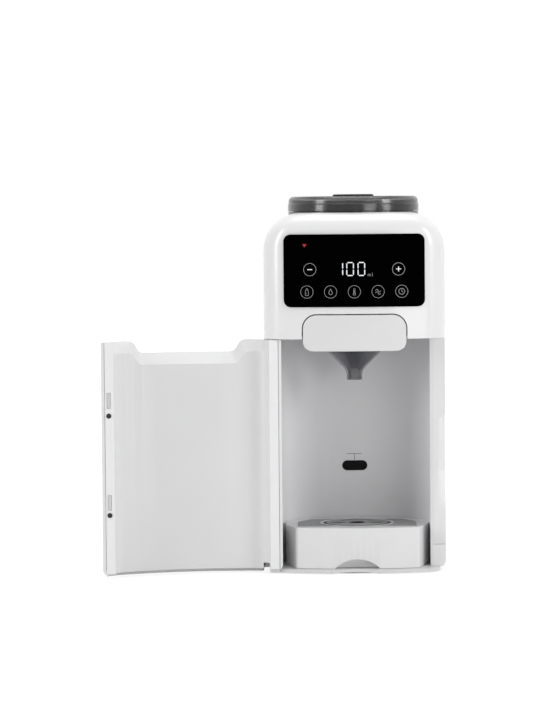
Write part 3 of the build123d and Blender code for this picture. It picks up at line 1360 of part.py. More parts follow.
def make_water_pump():
    body = rounded_block(
        (PUMP_X - PUMP_HALF, PUMP_X + PUMP_HALF),
        (VALVE_Y - PUMP_HALF, VALVE_Y + PUMP_HALF),
        (TUB_FLOOR_TOP + FIT_GAP, PUMP_TOP),
        4,
    )
    top, left = PUMP_TOP + BARB_LENGTH, PUMP_X - PUMP_HALF - BARB_LENGTH
    body += rod(PUMP_X, VALVE_Y, PUMP_TOP - 1, top, BARB_RADIUS)
    body += bar_x(VALVE_Y, PUMP_BARB_Z, left, PUMP_X - PUMP_HALF + 1, BARB_RADIUS)
    body -= rod(PUMP_X, VALVE_Y, PUMP_TOP - 5, top + 1, BARB_BORE)
    return body - bar_x(VALVE_Y, PUMP_BARB_Z, left - 1, PUMP_X - PUMP_HALF + 5, BARB_BORE)


def make_heater():
    top, right = HEATER_TOP + BARB_LENGTH, HEATER_X + HEATER_RADIUS + BARB_LENGTH
    body = rod(HEATER_X, VALVE_Y, HEATER_BOTTOM, HEATER_TOP, HEATER_RADIUS)
    for side in (-1, 1):
        x = HEATER_X + side * 14
        body += box(
            (x - 3, x + 3), (VALVE_Y - 14, VALVE_Y + 14), (TUB_FLOOR_TOP + FIT_GAP, HEATER_BOTTOM)
        )
    body += rod(HEATER_X, VALVE_Y, HEATER_TOP - 1, top, BARB_RADIUS)
    body += bar_x(VALVE_Y, HEATER_BARB_Z, right - BARB_LENGTH - 2, right, BARB_RADIUS)
    body -= rod(HEATER_X, VALVE_Y, HEATER_BOTTOM + 3, top + 1, BARB_BORE)
    return body - bar_x(VALVE_Y, HEATER_BARB_Z, HEATER_X, right + 1, BARB_BORE)


def hose(points):
    """A hose along straight runs with round bends, pushed over the barbs at both ends."""
    bend = min(HOSE_BEND, *[0.45 * (Vector(a) - Vector(b)).length for a, b in zip(points, points[1:])])
    path = FilletPolyline(*points, radius=bend)
    start = Plane(origin=points[0], z_dir=Vector(points[1]) - Vector(points[0]))
    ring = Circle(HOSE_RADIUS) - Circle(BARB_RADIUS + 0.02)
    return sweep(start * ring, path)


def make_hose_inlet():
    start_x = SEAT_RADIUS + 1
    return hose(
        [(start_x, VALVE_Y, SEAT_BARB_Z), (PUMP_X, VALVE_Y, SEAT_BARB_Z), (PUMP_X, VALVE_Y, PUMP_TOP + 1)]
    )


def make_hose_link():
    right = PUMP_X - PUMP_HALF - 1
    left = HEATER_X + HEATER_RADIUS + 1
    middle = (right + left) / 2
    return hose(
        [
            (right, VALVE_Y, PUMP_BARB_Z),
            (middle, VALVE_Y, PUMP_BARB_Z),
            (middle, VALVE_Y, HEATER_BARB_Z),
            (left, VALVE_Y, HEATER_BARB_Z),
        ]
    )


def make_hose_outlet():
    turn_z = HEATER_TOP + 31
    return hose(
        [
            (HEATER_X, VALVE_Y, HEATER_TOP + 1),
            (HEATER_X, VALVE_Y, turn_z),
            (RISER_X, VALVE_Y, turn_z),
            (RISER_X, RISER_Y, turn_z),
            (RISER_X, RISER_Y, NOZZLE_HEIGHT),
            (RISER_X, NOZZLE_Y, NOZZLE_HEIGHT),
            (NOZZLE_X - 5.5, NOZZLE_Y, NOZZLE_HEIGHT),
        ]
    )


def make_water_nozzle():
    radius = 4.5
    nozzle = rod(NOZZLE_X, NOZZLE_Y, FUNNEL_TOP + CHUTE_GAP, DOSE_FLOOR, radius)
    nozzle += bar_x(NOZZLE_Y, NOZZLE_HEIGHT, NOZZLE_X - radius - BARB_LENGTH, NOZZLE_X, BARB_RADIUS)
    nozzle -= rod(NOZZLE_X, NOZZLE_Y, FUNNEL_TOP, NOZZLE_HEIGHT, BARB_BORE)
    far = NOZZLE_X - radius - BARB_LENGTH - 1
    return nozzle - bar_x(NOZZLE_Y, NOZZLE_HEIGHT, far, NOZZLE_X, BARB_BORE)


# ------------------------------------------------------------------ drip tray
def tray_plan(inset):
    """The tray's plan: a front arc, two slanted facets, flat sides and a U-shaped back."""
    sag = TRAY_FRONT_RADIUS - sqrt(TRAY_FRONT_RADIUS**2 - TRAY_FACET_X**2)
    facet_y = TRAY_FRONT + sag
    side_end = TRAY_BACK - TRAY_CORNER
    back_x = TRAY_HALF_WIDTH - TRAY_CORNER
    bulge = TRAY_CORNER * sqrt(0.5)

    def left(point):
        return (-point[0], point[1])

    facet, side = (TRAY_FACET_X, facet_y), (TRAY_HALF_WIDTH, TRAY_SIDE_START)
    end, back = (TRAY_HALF_WIDTH, side_end), (back_x, TRAY_BACK)
    round_point = (back_x + bulge, side_end + bulge)
    edges = [
        ThreePointArc(left(facet), (0, TRAY_FRONT), facet),
        Line(facet, side),
        Line(side, end),
        ThreePointArc(end, round_point, back),
        Line(back, left(back)),
        ThreePointArc(left(back), left(round_point), left(end)),
        Line(left(end), left(side)),
        Line(left(side), left(facet)),
    ]
    face = make_face(edges)
    corners = [v for v in face.vertices() if v.Y < TRAY_SIDE_START + 0.5]
    face = fillet(corners, 6)
    return Pos(TRAY_X, 0) * (offset(face, -inset) if inset else face)


def tray_prism(inset, bottom, top):
    return extrude(Pos(0, 0, bottom) * tray_plan(inset), amount=top - bottom)


def finger_arch(grow, depth):
    """The arched finger hold under the tray's front edge."""
    radius = ((ARCH_WIDTH / 2) ** 2 + ARCH_HEIGHT**2) / (2 * ARCH_HEIGHT)
    centre_z = BAY_BOTTOM + ARCH_HEIGHT - radius
    return bar_y(TRAY_X, centre_z, TRAY_FRONT - 5, TRAY_FRONT + depth, radius + grow)


def make_drip_tray():
    tray = tray_prism(0, BAY_BOTTOM, TRAY_TOP)
    hollow = tray_prism(TRAY_WALL, BAY_BOTTOM + TRAY_WALL, TRAY_TOP + 1)
    hollow -= finger_arch(TRAY_WALL, ARCH_DEPTH + TRAY_WALL)
    tray -= hollow
    ledge_top = TRAY_TOP - COVER_THICKNESS - 0.2
    ledge = tray_prism(TRAY_WALL - 0.5, ledge_top - 2, ledge_top)
    ledge -= tray_prism(TRAY_WALL + 1.5, ledge_top - 3, ledge_top + 1)
    return tray + ledge - finger_arch(0, ARCH_DEPTH)


def grille_outline(grow):
    """The grille plate's plan: a rectangle with its two rear corners cut off."""
    half, front, back = GRILLE_HALF_WIDTH + grow, GRILLE_FRONT - grow, GRILLE_BACK + grow
    clip_x, clip_y = GRILLE_CLIP_X + grow / 2, GRILLE_CLIP_Y + grow / 2
    right = [(half, front), (half, back - clip_y), (half - clip_x, back)]
    left = [(-x, y) for x, y in reversed(right)]
    return Pos(TRAY_X, 0) * make_face(Polyline(*right, *left, close=True))


def make_tray_cover():
    top = TRAY_TOP - 0.3
    seat = GRILLE_DISC_RADIUS
    cover = tray_prism(TRAY_WALL + 0.3, top - COVER_THICKNESS + 0.2, top)
    cover -= extrude(Pos(0, 0, top - GRILLE_THICKNESS) * grille_outline(0.3), amount=5)
    cover -= extrude(Pos(0, 0, top - 10) * grille_outline(-COVER_SEAT), amount=20)
    cover -= rod(TRAY_X, FUNNEL_Y, top - 10, top + 5, seat - GRILLE_DISC_SEAT)
    return cover - rod(TRAY_X, FUNNEL_Y, top - 0.8, top + 5, seat + 0.3)


def make_drip_grille():
    top = TRAY_TOP - 0.3
    seat = GRILLE_DISC_RADIUS
    low = Pos(0, 0, top - GRILLE_THICKNESS + 0.1)
    plate = extrude(low * grille_outline(0), amount=GRILLE_THICKNESS - 0.1)
    plate -= rod(TRAY_X, FUNNEL_Y, top - 10, top + 1, seat - GRILLE_DISC_SEAT)
    return plate - rod(TRAY_X, FUNNEL_Y, top - 0.8, top + 1, seat + 0.3)


def make_grille_disc():
    """The round drain in the grille: a groove, two leaf slots, a rear arc and a middle hole."""
    top = TRAY_TOP - 0.3
    skirt = GRILLE_DISC_RADIUS - GRILLE_DISC_SEAT - 0.3
    disc = rod(TRAY_X, FUNNEL_Y, top - 0.7, top + 0.6, GRILLE_DISC_RADIUS)
    disc += rod(TRAY_X, FUNNEL_Y, top - 2.2, top - 0.7, skirt)
    disc -= pipe(TRAY_X, FUNNEL_Y, top - 0.6, top + 1, GRILLE_DISC_RADIUS - 3.6, GRILLE_DISC_RADIUS - 5.4)
    disc -= rod(TRAY_X, FUNNEL_Y, top - 5, top + 1, 8)
    start, reach, half = 10.0, 32.0, 5.0
    bow = ((reach - start) / 2) ** 2
    leaf_radius = (bow + half**2) / (2 * half)
    shift = leaf_radius - half
    middle = (reach + start) / 2
    for side in (-1, 1):
        leaf = Pos(TRAY_X + side * middle, FUNNEL_Y + shift) * Circle(leaf_radius)
        leaf = leaf & Pos(TRAY_X + side * middle, FUNNEL_Y - shift) * Circle(leaf_radius)
        disc -= extrude(Pos(0, 0, top - 5) * leaf, amount=10)
    arc = pipe(TRAY_X, FUNNEL_Y, top - 5, top + 1, 29, 24)
    return disc - (arc & box((TRAY_X - 17, TRAY_X + 17), (FUNNEL_Y, 0), (0, TRAY_TOP + 10)))


# ------------------------------------------------------------------ fasteners
def make_base_screws():
    screws = []
    for x, y in base_screw_places():
        screw = rod(x, y, BASE_BOTTOM + 0.2, BASE_BOTTOM + 0.2 + SCREW_HEAD_HEIGHT, SCREW_HEAD_RADIUS)
        screws.append(screw + rod(x, y, BASE_BOTTOM + 1, 12.5, SCREW_RADIUS))
    return screws


def make_rear_screws():
    back = REAR - REAR_RECESS
    screws = []
    for x, z in rear_screw_places():
        screw = bar_y(x, z, back, back + SCREW_HEAD_HEIGHT, SCREW_HEAD_RADIUS)
        screw += bar_y(x, z, back - 6, back, SCREW_RADIUS)
        slot = box((x - 2, x + 2), (back + 0.8, back + 3), (z - 0.4, z + 0.4))
        slot += box((x - 0.4, x + 0.4), (back + 0.8, back + 3), (z - 2, z + 2))
        screws.append(screw - slot)
    return screws


# ------------------------------------------------------------------ the assembly
SUB_PARTS = {
    "base_plate": make_base_plate,
    "foot_ring": make_foot_ring,
    "base_tub": make_base_tub,
    "main_housing": make_main_housing,
    "rear_cover": make_rear_cover,
    "power_inlet": make_power_inlet,
    "cavity_liner": make_cavity_liner,
    "head_cover": make_head_cover,
    "head_base": make_head_base,
    "drawer_rails": make_drawer_rails,
    "control_panel": make_control_panel,
    "touch_board": make_touch_board,
    "display_module": make_display_module,
    "touch_pads": make_touch_pads,
    "sensor_window": make_sensor_window,
    "sensor_board": make_sensor_board,
    "main_board": make_main_board,
    "power_board": make_power_board,
    "door_shell": make_door_shell,
    "door_liner": make_door_liner,
    "door_magnets": make_door_magnets,
    "door_bumpers": make_door_bumpers,
    "catch_plates": make_catch_plates,
    "hinge_pins": make_hinge_pins,
    "drawer_front": make_drawer_front,
    "funnel_holder": make_funnel_holder,
    "funnel": make_funnel,
    "drive_gear": make_drive_gear,
    "motor_pinion": make_motor_pinion,
    "dosing_motor": make_dosing_motor,
    "dosing_base": make_dosing_base,
    "shaft_bush": make_shaft_bush,
    "drive_shaft": make_drive_shaft,
    "dosing_wheel": make_dosing_wheel,
    "hopper": make_hopper,
    "stirrer": make_stirrer,
    "hopper_lid": make_hopper_lid,
    "lid_knob": make_lid_knob,
    "lid_seal": make_lid_seal,
    "water_tank": make_water_tank,
    "tank_lid": make_tank_lid,
    "tank_lid_pin": make_tank_lid_pin,
    "valve_cage": make_valve_cage,
    "valve_plunger": make_valve_plunger,
    "valve_spring": make_valve_spring,
    "tank_shelf": make_tank_shelf,
    "tank_seat": make_tank_seat,
    "seat_seal": make_seat_seal,
    "water_pump": make_water_pump,
    "heater": make_heater,
    "hose_inlet": make_hose_inlet,
    "hose_link": make_hose_link,
    "hose_outlet": make_hose_outlet,
    "water_nozzle": make_water_nozzle,
    "drip_tray": make_drip_tray,
    "tray_cover": make_tray_cover,
    "drip_grille": make_drip_grille,
    "grille_disc": make_grille_disc,
    "base_screws": make_base_screws,
    "rear_screws": make_rear_screws,
}


def swung_open(shape):
    """A door piece turned from closed to where the door stands open."""
    return Pos(HINGE_X, HINGE_Y) * Rot(0, 0, -DOOR_OPEN) * Pos(-HINGE_X, -HINGE_Y) * shape


def main():
    os.makedirs("parts", exist_ok=True)
    for name, maker in SUB_PARTS.items():
        shape = maker()
        pieces = shape if isinstance(shape, list) else [shape]
        solids = [solid for piece in pieces for solid in piece.solids()]
        if name.startswith("door_"):
            solids = [swung_open(solid) for solid in solids]
        whole = solids[0] if len(solids) == 1 else Compound(solids)
        export_step(whole, f"parts/{name}.step")


main()
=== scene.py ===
import json
import math

import bmesh
import bpy
from mathutils import Matrix, Vector


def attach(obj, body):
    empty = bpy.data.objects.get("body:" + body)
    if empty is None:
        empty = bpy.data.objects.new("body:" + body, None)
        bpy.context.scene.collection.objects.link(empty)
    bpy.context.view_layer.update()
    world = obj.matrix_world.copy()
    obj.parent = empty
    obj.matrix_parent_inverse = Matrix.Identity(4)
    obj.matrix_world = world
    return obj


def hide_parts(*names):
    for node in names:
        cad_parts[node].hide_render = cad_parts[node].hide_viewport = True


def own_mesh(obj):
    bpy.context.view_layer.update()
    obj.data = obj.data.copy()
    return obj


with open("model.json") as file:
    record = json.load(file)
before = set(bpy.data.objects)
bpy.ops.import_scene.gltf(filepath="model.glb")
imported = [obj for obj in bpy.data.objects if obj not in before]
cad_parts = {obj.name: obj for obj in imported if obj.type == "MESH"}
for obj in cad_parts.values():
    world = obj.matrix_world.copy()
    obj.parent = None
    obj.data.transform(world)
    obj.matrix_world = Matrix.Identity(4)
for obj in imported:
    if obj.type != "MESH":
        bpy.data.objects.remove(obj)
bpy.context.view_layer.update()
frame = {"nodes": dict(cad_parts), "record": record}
MM = 0.001

# ------------------------------------------------------------------ sizes shared with the CAD
ARC_Y = 110 * MM  # centre of the front's arc
FRONT_RADIUS = 260 * MM
PANEL_PROUD = 2.2 * MM
BAY_BACK = -20 * MM
HINGE = Vector((-87.5 * MM, -124 * MM, 0))
DOOR_OPEN = math.radians(168)
RIM_AHEAD = 12 * MM  # from the hinge axis to the door's rim plane
TRAY_MIDDLE = (1.7 * MM, -78 * MM)
TRAY_TOP = 48 * MM
TRAY_ROOM = (6.5 * MM, TRAY_TOP - 3 * MM)  # heights between which the tray is hollow


# ------------------------------------------------------------------ materials
def tree(name):
    """A new node material, with its nodes, its links and its shader."""
    material = bpy.data.materials.new(name)
    material.use_nodes = True
    nodes = material.node_tree.nodes
    return material, nodes, material.node_tree.links, nodes["Principled BSDF"]


def set_sockets(node, **values):
    """Set input sockets by name, with an underscore for each space."""
    for name, value in values.items():
        node.inputs[name.replace("_", " ")].default_value = value


def add(nodes, kind, **values):
    """A new shader node with the named sockets set."""
    node = nodes.new("ShaderNode" + kind)
    set_sockets(node, **values)
    return node


def tinted(color, amount):
    """A colour made lighter or darker, as an opaque one."""
    return tuple(min(1.0, max(0.0, c * amount)) for c in color[:3]) + (1.0,)


def object_noise(nodes, links, scale, detail):
    """Noise that stays with the piece, and the place that it is read at."""
    place = nodes.new("ShaderNodeTexCoord").outputs["Object"]
    noise = add(nodes, "TexNoise", Scale=scale, Detail=detail)
    links.new(place, noise.inputs["Vector"])
    return noise.outputs["Fac"], place


def color_drift(nodes, links, factor, color, low, high, start=0.0, end=1.0):
    """The colour times low where the factor is at start, and times high where it is at end."""
    ramp = nodes.new("ShaderNodeValToRGB")
    first, last = ramp.color_ramp.elements
    first.position, last.position = start, end
    first.color, last.color = tinted(color, low), tinted(color, high)
    links.new(factor, ramp.inputs["Fac"])
    return ramp.outputs["Color"]


def value_drift(nodes, links, factor, low, high):
    """A number that goes from low to high while the factor goes from 0 to 1."""
    spread = add(nodes, "MapRange", To_Min=low, To_Max=high)
    links.new(factor, spread.inputs["Value"])
    return spread.outputs["Result"]


def bumped(nodes, links, shader, height, strength, distance=0.4 * MM):
    """Bump a shader by a height between 0 and 1."""
    bumper = add(nodes, "Bump", Strength=strength, Distance=distance)
    links.new(height, bumper.inputs["Height"])
    links.new(bumper.outputs["Normal"], shader.inputs["Normal"])
    return bumper


def surface(
    name, color, rough, vary=0.012, rough_vary=0.05, grain=900.0, bump=0.02, edge=0.4 * MM, **more
):
    """A moulded surface: colour and polish drift slowly, a fine grain bumps it, edges are soft."""
    material, nodes, links, shader = tree(name)
    drift, place = object_noise(nodes, links, scale=14.0, detail=4.0)
    tone = color_drift(nodes, links, drift, color, 1 - vary, 1 + vary, start=0.3, end=0.7)
    links.new(tone, shader.inputs["Base Color"])
    polish = value_drift(
        nodes, links, drift, max(0.02, rough - rough_vary), min(1.0, rough + rough_vary)
    )
    links.new(polish, shader.inputs["Roughness"])
    fine = add(nodes, "TexNoise", Scale=grain, Detail=2.0)
    links.new(place, fine.inputs["Vector"])
    bumper = bumped(nodes, links, shader, fine.outputs["Fac"], bump)
    if edge:
        soft = add(nodes, "Bevel", Radius=edge)
        soft.samples = 4
        links.new(soft.outputs["Normal"], bumper.inputs["Normal"])
    set_sockets(shader, **more)
    return material


def brushed(name, color, rough, squeeze):
    """Metal with fine drawn lines, which lie across the axis that is squeezed most."""
    material, nodes, links, shader = tree(name)
    place = nodes.new("ShaderNodeTexCoord").outputs["Object"]
    mapping = add(nodes, "Mapping", Scale=squeeze)
    links.new(place, mapping.inputs["Vector"])
    lines = add(nodes, "TexNoise", Scale=300.0, Detail=3.0)
    links.new(mapping.outputs["Vector"], lines.inputs["Vector"])
    tone = color_drift(nodes, links, lines.outputs["Fac"], color, low=0.85, high=1.1)
    links.new(tone, shader.inputs["Base Color"])
    bumped(nodes, links, shader, lines.outputs["Fac"], strength=0.08)
    set_sockets(shader, Metallic=1.0, Roughness=rough)
    return material


def smoke(name, color, rough, **more):
    """Clear tinted plastic: light passes, and faint flow marks vary its polish."""
    material, nodes, links, shader = tree(name)
    flow, _ = object_noise(nodes, links, scale=35.0, detail=3.0)
    polish = value_drift(nodes, links, flow, low=max(0.01, rough - 0.03), high=rough + 0.05)
    links.new(polish, shader.inputs["Roughness"])
    tone = color_drift(nodes, links, flow, color, low=0.94, high=1.06)
    links.new(tone, shader.inputs["Base Color"])
    set_sockets(shader, Transmission_Weight=1.0, IOR=1.49, **more)
    return material


def glow(name, color, strength):
    """A lit mark behind dark glass, a little uneven as real backlights are."""
    material, nodes, links, shader = tree(name)
    drift, _ = object_noise(nodes, links, scale=260.0, detail=2.0)
    tone = color_drift(nodes, links, drift, color, low=0.86, high=1.0)
    links.new(tone, shader.inputs["Emission Color"])
    set_sockets(shader, Base_Color=(0.01, 0.01, 0.01, 1), Roughness=0.3, Emission_Strength=strength)
    return material


def board(name):
    """A circuit board: green resist with lighter tracks."""
    material, nodes, links, shader = tree(name)
    place = nodes.new("ShaderNodeTexCoord").outputs["Object"]
    tracks = add(
        nodes, "TexBrick", Scale=260.0,
        Color1=(0.01, 0.13, 0.05, 1), Color2=(0.012, 0.16, 0.06, 1), Mortar=(0.05, 0.3, 0.1, 1),
    )
    links.new(place, tracks.inputs["Vector"])
    links.new(tracks.outputs["Color"], shader.inputs["Base Color"])
    bumped(nodes, links, shader, tracks.outputs["Fac"], strength=0.2, distance=0.2 * MM)
    set_sockets(shader, Roughness=0.35)
    return material


def vector_math(nodes, links, operation, vector, second=(0, 0, 0)):
    """The outputs of a vector sum, product or measure."""
    node = nodes.new("ShaderNodeVectorMath")
    node.operation = operation
    links.new(vector, node.inputs[0])
    node.inputs[1].default_value = second
    return node.outputs


def from_axis(nodes, links, place, x, y):
    """The distance from an upright axis at x, y."""
    shifted = vector_math(nodes, links, "SUBTRACT", place, (x, y, 0))["Vector"]
    flat = vector_math(nodes, links, "MULTIPLY", shifted, (1, 1, 0))["Vector"]
    return vector_math(nodes, links, "LENGTH", flat)["Value"]


def ahead_of(nodes, links, place, point, direction):
    """The distance ahead of the plane through a point, along its direction."""
    shifted = vector_math(nodes, links, "SUBTRACT", place, point)["Vector"]
    return vector_math(nodes, links, "DOT_PRODUCT", shifted, direction)["Value"]


MIX_FACTOR, MIX_FIRST, MIX_SECOND, MIX_RESULT = 0, 6, 7, 2  # a Mix node's sockets for colours


def shade_by_place(material, measure, where, span, color):
    """Blend a second colour over a material, fully where a measure of the place ends its span."""
    nodes, links = material.node_tree.nodes, material.node_tree.links
    shader = nodes["Principled BSDF"]
    place = nodes.new("ShaderNodeTexCoord").outputs["Object"]
    spread = add(nodes, "MapRange", From_Min=span[0], From_Max=span[1])
    amount = measure(nodes, links, place, *where)
    links.new(amount, spread.inputs["Value"])
    before = shader.inputs["Base Color"].links[0].from_socket
    blend = nodes.new("ShaderNodeMix")
    blend.data_type = "RGBA"
    blend.inputs[MIX_SECOND].default_value = tinted(color, 1)
    links.new(spread.outputs["Result"], blend.inputs[MIX_FACTOR])
    links.new(before, blend.inputs[MIX_FIRST])
    links.new(blend.outputs[MIX_RESULT], shader.inputs["Base Color"])


GLOSS_COAT = {"Coat_Weight": 0.35, "Coat_Roughness": 0.12}
GLASS = {"rough": 0.12, "rough_vary": 0.03, "bump": 0.0}
M = {
    "white": surface("white_gloss", (0.86, 0.86, 0.865), 0.32, **GLOSS_COAT),
    "shell": surface("shell_gloss", (0.81, 0.81, 0.815), 0.32, **GLOSS_COAT),
    "door_in": surface("door_liner_satin", (0.77, 0.77, 0.775), 0.42, bump=0.03),
    "plate": surface("drawer_plate_satin", (0.79, 0.79, 0.79), 0.4, bump=0.03),
    "bay": surface("bay_satin", (0.8, 0.8, 0.81), 0.45, bump=0.03),
    "tray": surface("tray_gloss", (0.82, 0.82, 0.825), 0.36, Coat_Weight=0.2, Coat_Roughness=0.15),
    "cover": surface("tray_cover_satin", (0.74, 0.74, 0.745), 0.42),
    "grille": surface("grille_grey", (0.32, 0.32, 0.325), 0.5, bump=0.06, grain=1400.0),
    "disc": surface("drain_disc", (0.3, 0.3, 0.305), 0.4),
    # near-black painted shade for the inside of the drip tray
    "painted_shade": surface("tray_painted_shade", (0.03, 0.03, 0.03), 0.5),
    "base": surface("base_satin", (0.74, 0.74, 0.745), 0.45, bump=0.04),
    "glass": surface("panel_glass", (0.0006, 0.0006, 0.0008), **GLASS, Specular_IOR_Level=0.0),
    "window": surface("sensor_glass", (0.003, 0.003, 0.003), **GLASS, Specular_IOR_Level=0.06),
    "dark": surface(
        "dark_plastic", (0.03, 0.03, 0.033), 0.3, vary=0.1, Coat_Weight=0.3, Coat_Roughness=0.1
    ),
    "knob": surface("knob_dark", (0.012, 0.012, 0.014), 0.4, vary=0.1, Specular_IOR_Level=0.1),
    "cap": surface("magnet_cap", (0.66, 0.66, 0.67), 0.45),
    "grey": surface("grey_plastic", (0.2, 0.2, 0.21), 0.5, bump=0.05),
    "mark": surface("printed_mark", (0.09, 0.09, 0.09), 0.5, bump=0.0, edge=0),
    "rubber": surface("rubber", (0.02, 0.02, 0.02), 0.75, vary=0.15, bump=0.15, grain=2500.0),
    "silicone": surface("silicone", (0.7, 0.7, 0.69), 0.55, bump=0.04),
    "nylon": surface("nylon", (0.8, 0.78, 0.7), 0.5, bump=0.05),
    "smoke": smoke("smoke_clear", (0.42, 0.42, 0.44), 0.05),
    "smoke_deep": smoke("smoke_deep", (0.24, 0.24, 0.25), 0.17, Specular_IOR_Level=0.22),
    "clear": smoke("tank_clear", (0.86, 0.89, 0.92), 0.05),
    "steel": brushed("steel", (0.62, 0.62, 0.64), 0.3, (1, 1, 14)),
    "board": board("circuit_board"),
    "lit": glow("lit_white", (0.95, 0.97, 1.0), 1.0),
    "icon": glow("icon_grey", (0.46, 0.47, 0.49), 0.6),
    "ring": glow("ring_grey", (0.56, 0.57, 0.59), 0.75),
    "red": glow("lit_red", (0.6, 0.0, 0.0), 0.7),
}

# painted light on the door liner's flat strips at the rim: they are painted lighter than the panel
# between them
RIM_WAY = Vector((math.sin(DOOR_OPEN), math.cos(DOOR_OPEN), 0))
RIM_PLANE = (HINGE + RIM_WAY * RIM_AHEAD, RIM_WAY)
STRIP_DEPTHS = (-0.9 * MM, -0.5 * MM)
STRIP_PAINTED_LIGHT = (0.9, 0.9, 0.905)
shade_by_place(M["door_in"], ahead_of, RIM_PLANE, STRIP_DEPTHS, STRIP_PAINTED_LIGHT)

# the drain disc has a painted highlight on its rim, and painted shade in the groove inside it, in
# its hole and in its recesses
DISC_PAINTED_SHADE = (0.008, 0.008, 0.008)
DISC_PAINTED_HIGHLIGHT = (0.66, 0.66, 0.67)
DISC_TOP = ((0, 0, TRAY_TOP), (0, 0, 1))
GROOVE_RADII = (32.4 * MM, 32.8 * MM)
RIM_RADII = (35.4 * MM, 35.7 * MM)
HOLE_RADII = (9.4 * MM, 9.0 * MM)
RECESS_DEPTHS = (0, -0.4 * MM)
shade_by_place(M["disc"], from_axis, TRAY_MIDDLE, GROOVE_RADII, DISC_PAINTED_SHADE)
shade_by_place(M["disc"], from_axis, TRAY_MIDDLE, RIM_RADII, DISC_PAINTED_HIGHLIGHT)
shade_by_place(M["disc"], from_axis, TRAY_MIDDLE, HOLE_RADII, DISC_PAINTED_SHADE)
shade_by_place(M["disc"], ahead_of, DISC_TOP, RECESS_DEPTHS, DISC_PAINTED_SHADE)

DRESS = {
    "base_plate": "base", "foot_ring": "rubber", "base_tub": "white", "main_housing": "shell",
    "rear_cover": "white", "power_inlet": "dark", "cavity_liner": "bay", "head_cover": "white",
    "head_base": "bay", "drawer_rails": "bay", "control_panel": "glass", "touch_board": "board",
    "display_module": "dark", "touch_pads": "steel", "sensor_window": "window",
    "sensor_board": "board", "main_board": "board", "power_board": "board",
    "catch_plates": "steel", "hinge_pins": "steel", "dosing_motor": "steel",
    "dosing_base": "grey", "shaft_bush": "nylon", "tank_shelf": "grey", "tank_seat": "grey",
    "seat_seal": "silicone", "water_pump": "dark", "heater": "steel", "hose_inlet": "silicone",
    "hose_link": "silicone", "hose_outlet": "silicone", "water_nozzle": "nylon",
    "base_screws": "steel", "rear_screws": "steel", "door_shell": "shell",
    "door_liner": "door_in", "door_magnets": "cap", "door_bumpers": "rubber",
    "drawer_front": "plate", "funnel_holder": "bay", "funnel": "smoke", "drive_gear": "nylon",
    "drive_shaft": "steel", "dosing_wheel": "nylon", "motor_pinion": "nylon",
    "hopper": "smoke_deep", "stirrer": "nylon", "hopper_lid": "smoke_deep", "lid_knob": "knob",
    "lid_seal": "silicone", "water_tank": "clear", "valve_cage": "nylon",
    "tank_lid_pin": "steel", "valve_plunger": "nylon", "valve_spring": "steel",
    "tank_lid": "white", "drip_tray": "tray", "tray_cover": "cover", "drip_grille": "grille",
    "grille_disc": "disc",
}
SOFT_EDGES = {  # bevel widths, in millimetres
    "base_plate": 0.5, "base_tub": 0.25, "main_housing": 0.4, "rear_cover": 0.4,
    "cavity_liner": 0.5, "head_cover": 0.35, "control_panel": 0.3, "sensor_window": 0.2,
    "door_shell": 0.6, "door_liner": 0.5, "drawer_front": 0.7, "funnel_holder": 0.4,
    "funnel": 0.3, "hopper": 0.4, "hopper_lid": 0.35, "lid_knob": 0.4, "water_tank": 0.4,
    "tank_lid": 0.6, "drip_tray": 0.9, "tray_cover": 0.35, "valve_spring": 0.02,
    "drip_grille": 0.25, "grille_disc": 0.25, "power_inlet": 0.4,
}
BODY_OF = {
    node: body for body, nodes in frame["record"]["behaviour"]["bodies"].items() for node in nodes
}

# ------------------------------------------------------------------ carrying the CAD over
SHARP_FROM = math.radians(32)
BEVEL_FROM = math.radians(38)
FLAT_WITHIN = math.radians(0.4)
WELD_WITHIN = 0.002 * MM
# which faces inside the drip tray get painted shade:
FLOOR_FROM = 0.9  # a floor's normal rises by more than this share
INWARD_FROM = 0.3  # an inward face's normal turns to the middle by more than this share


def smooth_by_angle(mesh):
    """Smooth shading, with the sharp edges kept."""
    mesh.shade_smooth()
    mesh.set_sharp_from_angle(angle=SHARP_FROM)


def softened(node, width):
    """A copy of a CAD node with welded faces, rounded edges and smooth curved faces."""
    mesh = frame["nodes"][node].data.copy()
    mesh.name = node + "_look"
    work = bmesh.new()
    work.from_mesh(mesh)
    bmesh.ops.remove_doubles(work, verts=work.verts, dist=WELD_WITHIN)
    bmesh.ops.dissolve_limit(work, angle_limit=FLAT_WITHIN, verts=work.verts, edges=work.edges)
    work.to_mesh(mesh)
    work.free()
    piece = bpy.data.objects.new(node + "_look", mesh)
    bpy.context.scene.collection.objects.link(piece)
    smooth_by_angle(mesh)
    bevel = piece.modifiers.new("edges", "BEVEL")
    bevel.width = width * MM
    bevel.segments = 2
    bevel.limit_method = "ANGLE"
    bevel.angle_limit = BEVEL_FROM
    bevel.harden_normals = False
    bevel.use_clamp_overlap = True
    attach(piece, BODY_OF[node])
    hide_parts(node)
    return piece


def dress(piece, material):
    """Give a piece one material in place of what it has."""
    piece.data.materials.clear()
    piece.data.materials.append(material)


def paint_shade_inside(piece, middle, room):
    """Paint shade on a hollow piece's floor and its inward faces, with the near-black painted-shade
    material.
    """
    piece.data.materials.append(M["painted_shade"])
    for face in piece.data.polygons:
        place, normal = face.center, face.normal
        inwards = normal.x * (middle[0] - place.x) + normal.y * (middle[1] - place.y)
        reach = math.hypot(middle[0] - place.x, middle[1] - place.y) or 1.0
        shown = normal.z > FLOOR_FROM or inwards / reach > INWARD_FROM
        if room[0] < place.z < room[1] and shown:
            face.material_index = 1


